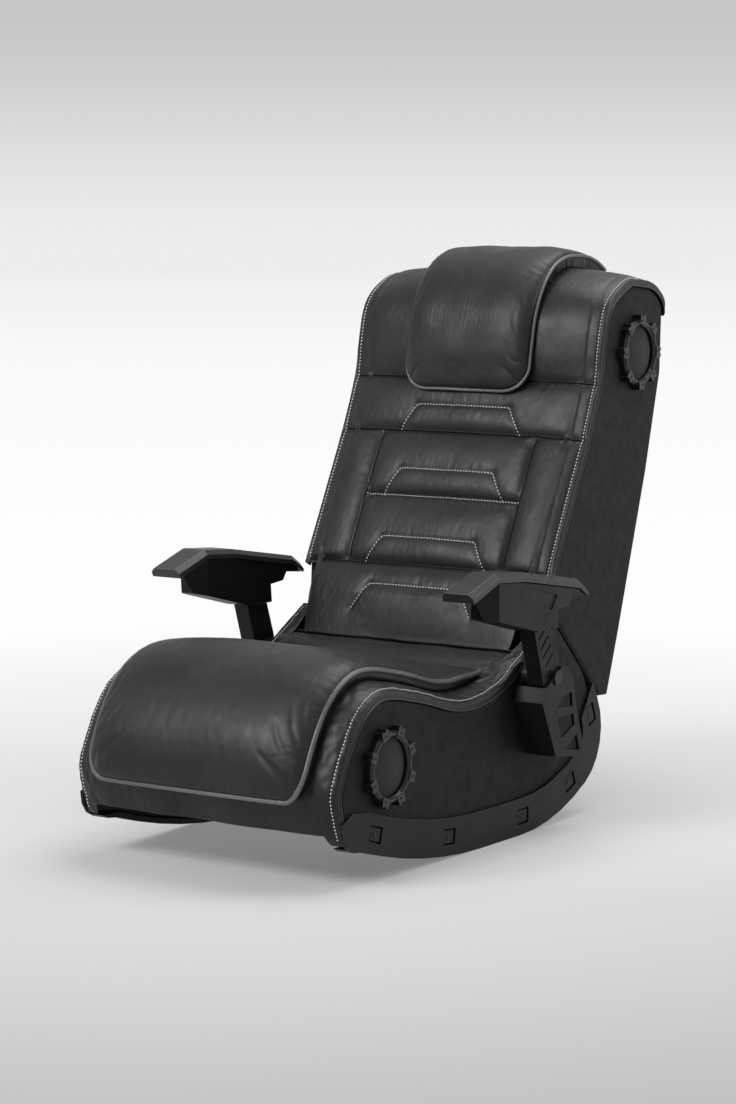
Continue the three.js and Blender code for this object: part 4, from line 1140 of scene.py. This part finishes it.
def seat_held(a, b, reach):
    x, _ = across_cover(a)
    share = seat_run(x, b) / seat_edge.length
    under_pad = (np.abs(x) < PAD_REST) & (share > 0.12) & (share < 0.92)
    return (np.abs(x) > HALF - EDGE_HELD) | (b < 2 * reach) | (b > 1 - 2 * reach) | under_pad


seat_net = Cover(seat_cover_place, coarse=(100, 120), fine=(230, 320), held=seat_held,
                 widen=0.03, pressure=1.2, cap=4 * MM)
seat_cover = leather_sheet("seat_cover", seat_net.mesh("seat_cover"), seat_leather)
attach(seat_cover, "base")
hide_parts("seat_foam", "seat_border_left", "seat_border_right")
print("seat cover settled by up to %.1f mm" % (seat_net.most_moved / MM))

# %% Seat stitches and welts
seat_lines = []
for hand in (-1, 1):
    b = np.linspace(0.012, 0.985, 420)
    a = share_across(np.full(b.shape, hand * EDGE_STITCH))
    seat_lines.append((seat_net.at(a, b), seat_net.up(a, b)))
seat_stitches = sew("seat_stitches", seat_lines, "base")
for hand, side in SIDES:
    runs = np.linspace(SIDE_START * seat_edge.length, wing_length, 320)
    x = np.full(runs.shape, hand * (HALF + WELT_PROUD))
    line = seat_place(x, runs, np.full(runs.shape, -ROLL + WELT_PROUD))
    cord_along("seat_welt_" + side, line, WELT_RADIUS, welt_leather, "base")
print("seat stitches", len(seat_stitches.data.polygons) // BEAD_FACES)

# %% [markdown]
# ### The crease
# Between seat and back the leather turns down out of sight. Two flaps do that: one carries the
# seat's leather down round the fold axis, and one carries the back's leather under it, closer to
# the axis, so that the back can swing without touching the seat.

# %% Crease flaps
FLAP_HALF = INNER - 2 * MM
FLAP_NET = (80, 24)
FLAP_HILLS = (0.6, 60)
# Radius in millimetres and angle in degrees about the fold axis.
seat_flap = [
    (110, 208.5), (103, 209.4), (97, 210.8), (93.5, 214), (92.5, 222), (92.5, 238), (93, 256),
]
back_flap = [(88, 211), (87, 222), (86, 235), (85, 250), (84, 262)]


def flap(name, turns, slot, body):
    """Leather bent round the fold axis through places given by radius and angle."""
    bend = Curve([r * MM * ray(1, t) for r, t in turns])
    a, b = net_of(*FLAP_NET)
    x, run = a * FLAP_HALF, b * bend.length
    flat = bend.at(run)
    sag = hills(x, run, FLAP_HILLS, 61)
    points = np.stack([x, flat[..., 0] + FOLD.y, flat[..., 1] + FOLD.z + sag], -1)
    piece = leather_sheet(name, net_mesh(name, *FLAP_NET, points), finishes[slot])
    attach(piece, body)


flap("seat_crease_flap", seat_flap, "seat_leather", "base")
flap("back_crease_flap", back_flap, "back_leather", "backrest")
print("flaps at the crease: 2")

# %% [markdown]
# ## The seat pad
# A boxed pad lies on the seat and hangs over its nose: a top panel, a band down to the seat, and a
# fat piping between them along three sides. Its rear edge thins out and tucks in at the crease.
# The top is drawn in along the piping, with creases that fan in from it.

# %% Seat pad
PAD_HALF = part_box("seat_pad")[1][0]
PAD_START = 0.11
PAD_END = 0.915
PAD_BAND = 17 * MM
PAD_CROWN = 16 * MM
PAD_NOSE = 22 * MM
PAD_NOSE_SHARE = 0.14
PAD_CORNER = 30 * MM
PAD_LIFT = 1.2 * MM
PAD_SIDE_PUCKERS = (1.4, 13, 34)
PAD_FRONT_PUCKERS = (0.7, 18, 18)
PAD_CREASES = (150, 132, 116, 102)
PAD_HILLS = (0.9, 120)
PAD_RIPPLES = (0.12, 26)
PIPING = 4.2 * MM
pad_length = (PAD_END - PAD_START) * seat_edge.length


def rounded(a, b, half, length, corner):
    """A net's places, closer at its sides, on a plan with two rounded front corners."""
    bent = np.sin(np.clip(a, -1, 1) * math.pi / 2) * 0.35 + a * 0.65
    x = bent * half
    y = b * length
    u = np.clip((np.abs(x) - half + corner) / corner, 0, 1)
    v = np.clip((corner - y) / corner, 0, 1)
    far = np.hypot(u, v)
    pull = np.where(far > 0, np.maximum(u, v) / np.maximum(far, 1e-9), 1)
    side = np.where(u > 0, half - corner + u * pull * corner, np.abs(x))
    low = np.where(v > 0, corner - v * pull * corner, y)
    return np.sign(bent) * side, low


def pad_plan(a, b):
    x, run = rounded(a, b, PAD_HALF, pad_length, PAD_CORNER)
    return x, run + PAD_START * seat_edge.length


def pad_base(x, run):
    return seat_rise(x, run) + PAD_LIFT


def pad_thin(b):
    return 1 - 0.7 * past(b, 0.86, 0.14)


def pad_top_place(a, b):
    x, run = pad_plan(a, b)
    share = run / seat_edge.length
    crown = PAD_CROWN + PAD_NOSE * np.exp(-(((share - PAD_NOSE_SHARE) / PAD_NOSE_SHARE) ** 2))
    ends = swell(np.clip(2 * b - 1, -1, 1)) * swell(a)
    height = pad_base(x, run) + (PAD_BAND + crown * ends) * pad_thin(b)
    side_gap = (1 - np.abs(a)) * PAD_HALF
    front = 1 - past(b, 0.55, 0.2)
    height -= puckers(run, side_gap, PAD_SIDE_PUCKERS, 111) * front
    height -= puckers(x, b * pad_length, PAD_FRONT_PUCKERS, 114)
    for hand in (-1, 1):
        for i, turn in enumerate(PAD_CREASES):
            up = (PAD_START + 0.02 + 0.035 * i) * seat_edge.length
            start = np.array((hand * (PAD_HALF - 10 * MM), up))
            way = (80 - 6 * i) * MM * ray(hand, turn)
            height -= crease(x, run, start, way, (1.5, 4.5, 6 * hand))
    height += hills(x, run, PAD_HILLS, 118) * ends
    height += hills(x * 1.4, run, PAD_RIPPLES, 119)
    return seat_place(x, run, height)


def pad_held(a, b, reach):
    return (np.abs(a) > 0.985) | (b < reach) | (b > 1 - reach)


def boxed_piece(name, net, base_place, finish, wall_cuts=2):
    """A closed pad: its top net, the same net laid on its base, and a band between the two."""
    mesh = net.mesh(name)
    form = bmesh.new()
    form.from_mesh(mesh)
    count = len(form.verts)
    lower = base_place(*net_of(net.columns, net.rows)).reshape(-1, 3)
    copy = bmesh.ops.duplicate(form, geom=form.verts[:] + form.edges[:] + form.faces[:])
    lower_faces = [g for g in copy["geom"] if isinstance(g, bmesh.types.BMFace)]
    form.verts.ensure_lookup_table()
    for vert, spot in zip(form.verts[count:], lower):
        vert.co = spot
    bmesh.ops.reverse_faces(form, faces=lower_faces)
    rims = [e for e in form.edges if e.is_boundary]
    made = bmesh.ops.bridge_loops(form, edges=rims)
    walls = {e for f in made["faces"] for e in f.edges} - set(rims)
    bmesh.ops.subdivide_edges(form, edges=list(walls), cuts=wall_cuts, use_grid_fill=True)
    bmesh.ops.recalc_face_normals(form, faces=form.faces[:])
    form.to_mesh(mesh)
    form.free()
    mesh.materials.append(finish)
    mesh.shade_smooth()
    print(name, "has", len(lower), "points on its base and", len(mesh.polygons), "faces")
    return placed(name, mesh)


def pad_base_place(a, b):
    x, run = pad_plan(a, b)
    return seat_place(x * 0.995, run, pad_base(x, run))


pad_net = Cover(pad_top_place, coarse=(96, 120), fine=(180, 240), held=pad_held,
                widen=0.010, pressure=1.4, cap=2.5 * MM)
seat_pad = boxed_piece("seat_pad_cover", pad_net, pad_base_place, pad_leather)
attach(seat_pad, "base")
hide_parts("seat_pad")
print("seat pad settled by up to %.1f mm" % (pad_net.most_moved / MM))

# %% Pad piping
RIM_STEPS = 140
RIM_ROUNDS = 12


def rim_places(b_end):
    """The net's rim from one rear end round the front to the other, as a and b."""
    count = RIM_STEPS
    down = np.linspace(b_end, 0, count)
    over = np.linspace(-1, 1, count)
    a = np.concatenate([np.full(count, -1.0), over[1:-1], np.full(count, 1.0)])
    b = np.concatenate([down, np.zeros(count - 2), down[::-1]])
    return a, b


def smooth_line(points):
    """A line of points with its small kinks taken out."""
    points = points.copy()
    for _ in range(RIM_ROUNDS):
        points[1:-1] = (points[:-2] + 2 * points[1:-1] + points[2:]) / 4
    return points


def rim_line(net, b_end, proud):
    """The net's rim, moved outwards so that the piping stands proud of the panel."""
    a, b = rim_places(b_end)
    rim = net.at(a, b)
    inner = net.at(a * 0.95, 0.03 + b * 0.95)
    out = rim - inner
    out /= np.linalg.norm(out, axis=1, keepdims=True)
    return smooth_line(rim + out * proud)


pad_rim = rim_line(pad_net, 0.985, 2.4 * MM)
cord_along("seat_pad_piping", pad_rim, PIPING, piping_painted_highlight, "base", 5)
print("pad piping %.2f m long" % np.linalg.norm(np.diff(pad_rim, axis=0), axis=1).sum())

# %% [markdown]
# ## The headrest pillow
# The pillow is sewn like the pad, with round lower corners. It hangs over the top of the backrest,
# where its band is gathered into deep pleats between the piping and the back.

# %% Pillow
PILLOW_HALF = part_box("headrest_pillow")[1][0] - 3 * MM
PILLOW_START = 0.545
PILLOW_END = 0.965
PILLOW_BAND = 10 * MM
PILLOW_CROWN = 27 * MM
PILLOW_CORNER = 45 * MM
PILLOW_SEAT = BACK_CROWN + 1 * MM
PILLOW_PIPING = 3.0 * MM
PILLOW_SIDE_PUCKERS = (1.8, 12, 30)
PILLOW_FOOT_PUCKERS = (1.0, 11, 26)
PILLOW_PLEATS = (0.5, 7, 60)
PILLOW_CREASES = (126, 112, 101)
PILLOW_HILLS = (0.8, 80)
GATHER = (1, 8, 10)
GATHER_SHARE = 0.055
pillow_length = (PILLOW_END - PILLOW_START) * back_face.length


def pillow_plan(a, b):
    x, run = rounded(a, b, PILLOW_HALF, pillow_length, PILLOW_CORNER)
    return x, run + PILLOW_START * back_face.length


def pillow_band(b):
    return PILLOW_BAND + 15 * MM * past(b, 0.40, 0.25)


def pillow_top_place(a, b):
    x, run = pillow_plan(a, b)
    fall = 1 - 0.45 * b**3 - 0.35 * past(b, 0.40, 0.25)
    crown = PILLOW_CROWN * fall * swell(a) * swell(np.clip(2 * b - 1, -1, 1))
    height = PILLOW_SEAT + pillow_band(b) + crown
    side_gap = (1 - np.abs(a)) * PILLOW_HALF
    height -= puckers(run, side_gap, PILLOW_SIDE_PUCKERS, 131) * past(b, 0.25, 0.3)
    height -= puckers(x, b * pillow_length, PILLOW_FOOT_PUCKERS, 134)
    height -= puckers(x, (b - 0.35) * pillow_length, PILLOW_PLEATS, 137) * swell(a)
    for hand in (-1, 1):
        for i, turn in enumerate(PILLOW_CREASES):
            up = (PILLOW_START + 0.06 + 0.05 * i) * back_face.length
            start = np.array((hand * (PILLOW_HALF - 9 * MM), up))
            way = 46 * MM * ray(hand, turn)
            height -= crease(x, run, start, way, (1.1, 4, 7 * hand))
    height += hills(x, run, PILLOW_HILLS, 138)
    return back_place(x, run, height)


def pillow_base_place(a, b):
    x, run = pillow_plan(a, b)
    gather = puckers(run, 0, GATHER, 141) / MM * past(b, 0.3, 0.2)
    inner = 1 - GATHER_SHARE * gather - 0.015
    return back_place(x * inner, run, np.full(x.shape, PILLOW_SEAT))


pillow_net = Cover(pillow_top_place, coarse=(64, 80), fine=(150, 190), held=pad_held,
                   widen=0.03, pressure=1.2, cap=3.5 * MM)
pillow = boxed_piece("headrest_pillow_cover", pillow_net, pillow_base_place, pillow_leather, 3)
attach(pillow, "backrest")
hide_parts("headrest_pillow")
pillow_rim = rim_line(pillow_net, 1.0, 1.6 * MM)
cord_along("pillow_piping", pillow_rim, PILLOW_PIPING, piping_painted_highlight, "backrest", 5)
print("pillow settled by up to %.1f mm" % (pillow_net.most_moved / MM))

# %% [markdown]
# ## Small parts on the sides
# Each rocker rail is screwed on through five small windows. A window holds a raised plate with a
# screw in its middle. The windows are found in the rail itself, as the small closed loops of
# edges on its outer face. Each speaker ring has screws between its lugs.

# %% Rail tabs and screws
TAB_MARGIN = 6 * MM
TAB_DROP = 1.4 * MM
SCREW_RADIUS = 4.6 * MM
SCREW_HEIGHT = 1.2 * MM
TAB_DEPTH = 3 * MM
HAIR = 0.01 * MM


def windows(rail, hand):
    """The middle and the long and short ways of each small window in the rail's outer face."""
    form = bmesh.new()
    form.from_mesh(rail.data)
    bmesh.ops.remove_doubles(form, verts=form.verts[:], dist=HAIR)
    bmesh.ops.dissolve_limit(form, angle_limit=math.radians(1), verts=form.verts[:],
                             edges=form.edges[:])
    face_x = max(hand * v.co.x for v in form.verts)
    left = set()
    for edge in form.edges:
        level = all(abs(hand * v.co.x - face_x) < HAIR for v in edge.verts)
        if level and sorted(abs(f.normal.x) > 0.9 for f in edge.link_faces) == [False, True]:
            left.add(edge)
    found = []
    while left:
        loop = [left.pop()]
        for edge in loop:
            near = [e for v in edge.verts for e in v.link_edges if e in left]
            left.difference_update(near)
            loop.extend(near)
        if len(loop) == 4:
            middle = sum((v.co for e in loop for v in e.verts), Vector()) / 8
            pair = [pick(loop, key=lambda e: e.calc_length()) for pick in (max, min)]
            ways = [(e.verts[1].co - e.verts[0].co).normalized() for e in pair]
            found.append((middle, ways, [e.calc_length() for e in pair]))
    form.free()
    return found


def finished(name, form, body, slot):
    bmesh.ops.recalc_face_normals(form, faces=form.faces[:])
    piece = placed(name, mesh_from(name, form))
    piece.data.materials.append(finishes[slot])
    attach(piece, body)


def add_screw(form, middle, hand, radius=SCREW_RADIUS):
    """A screw head with a socket in it, on a face that looks sideways."""
    place = Matrix.Translation(middle) @ Matrix.Rotation(hand * math.pi / 2, 4, "Y")
    head = bmesh.ops.create_cone(form, cap_ends=True, segments=20, radius1=radius,
                                 radius2=0.85 * radius, depth=SCREW_HEIGHT, matrix=place)
    faces = {face for vert in head["verts"] for face in vert.link_faces}
    top = max(faces, key=lambda face: hand * face.calc_center_median().x)
    bmesh.ops.inset_individual(form, faces=[top], thickness=0.45 * radius,
                               depth=-0.6 * SCREW_HEIGHT, use_even_offset=True)


tab_count = 0
for hand, side in SIDES:
    plates = bmesh.new()
    screws = bmesh.new()
    out = Vector((hand, 0, 0))
    for middle, (long, short), (length, width) in windows(nodes["rocker_rail_" + side], hand):
        move = Matrix.Translation(middle - out * (TAB_DROP + TAB_DEPTH / 2))
        turn = Matrix((Vector((1, 0, 0)), long, short)).transposed().to_4x4()
        size = Matrix.Diagonal((TAB_DEPTH, length - TAB_MARGIN, width - TAB_MARGIN, 1))
        block = bmesh.ops.create_cube(plates, size=1, matrix=move @ turn @ size)
        edges = list({e for v in block["verts"] for e in v.link_edges})
        bmesh.ops.bevel(plates, geom=edges, offset=0.7 * MM, segments=2, profile=0.5,
                        affect="EDGES", material=-1)
        add_screw(screws, middle - out * (TAB_DROP - SCREW_HEIGHT / 2), hand)
        tab_count += 1
    finished("rail_tab_plates_" + side, plates, "base", "rail_plastic")
    finished("rail_tab_screws_" + side, screws, "base", "steel")
print("rail tabs", tab_count)

# %% Speaker screws
LUGS = 8
LUG_SCREW_PLACE = 54 * MM
LUG_SCREW_RADIUS = 2.6 * MM
for group, body, lean in (("seat", "base", 0), ("back", "backrest", RECLINE)):
    for hand, side in SIDES:
        low, high = (Vector(c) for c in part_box(group + "_speaker_ring_" + side))
        middle = (low + high) / 2
        middle.x = (high if hand > 0 else low).x + hand * SCREW_HEIGHT / 4
        form = bmesh.new()
        for i in range(LUGS):
            angle = (i + 0.5) * math.tau / LUGS - lean
            arm = Vector((0, math.sin(angle), math.cos(angle))) * LUG_SCREW_PLACE
            add_screw(form, middle + arm, hand, LUG_SCREW_RADIUS)
        finished(group + "_speaker_screws_" + side, form, body, "steel")
print("speaker screws", 4 * LUGS)
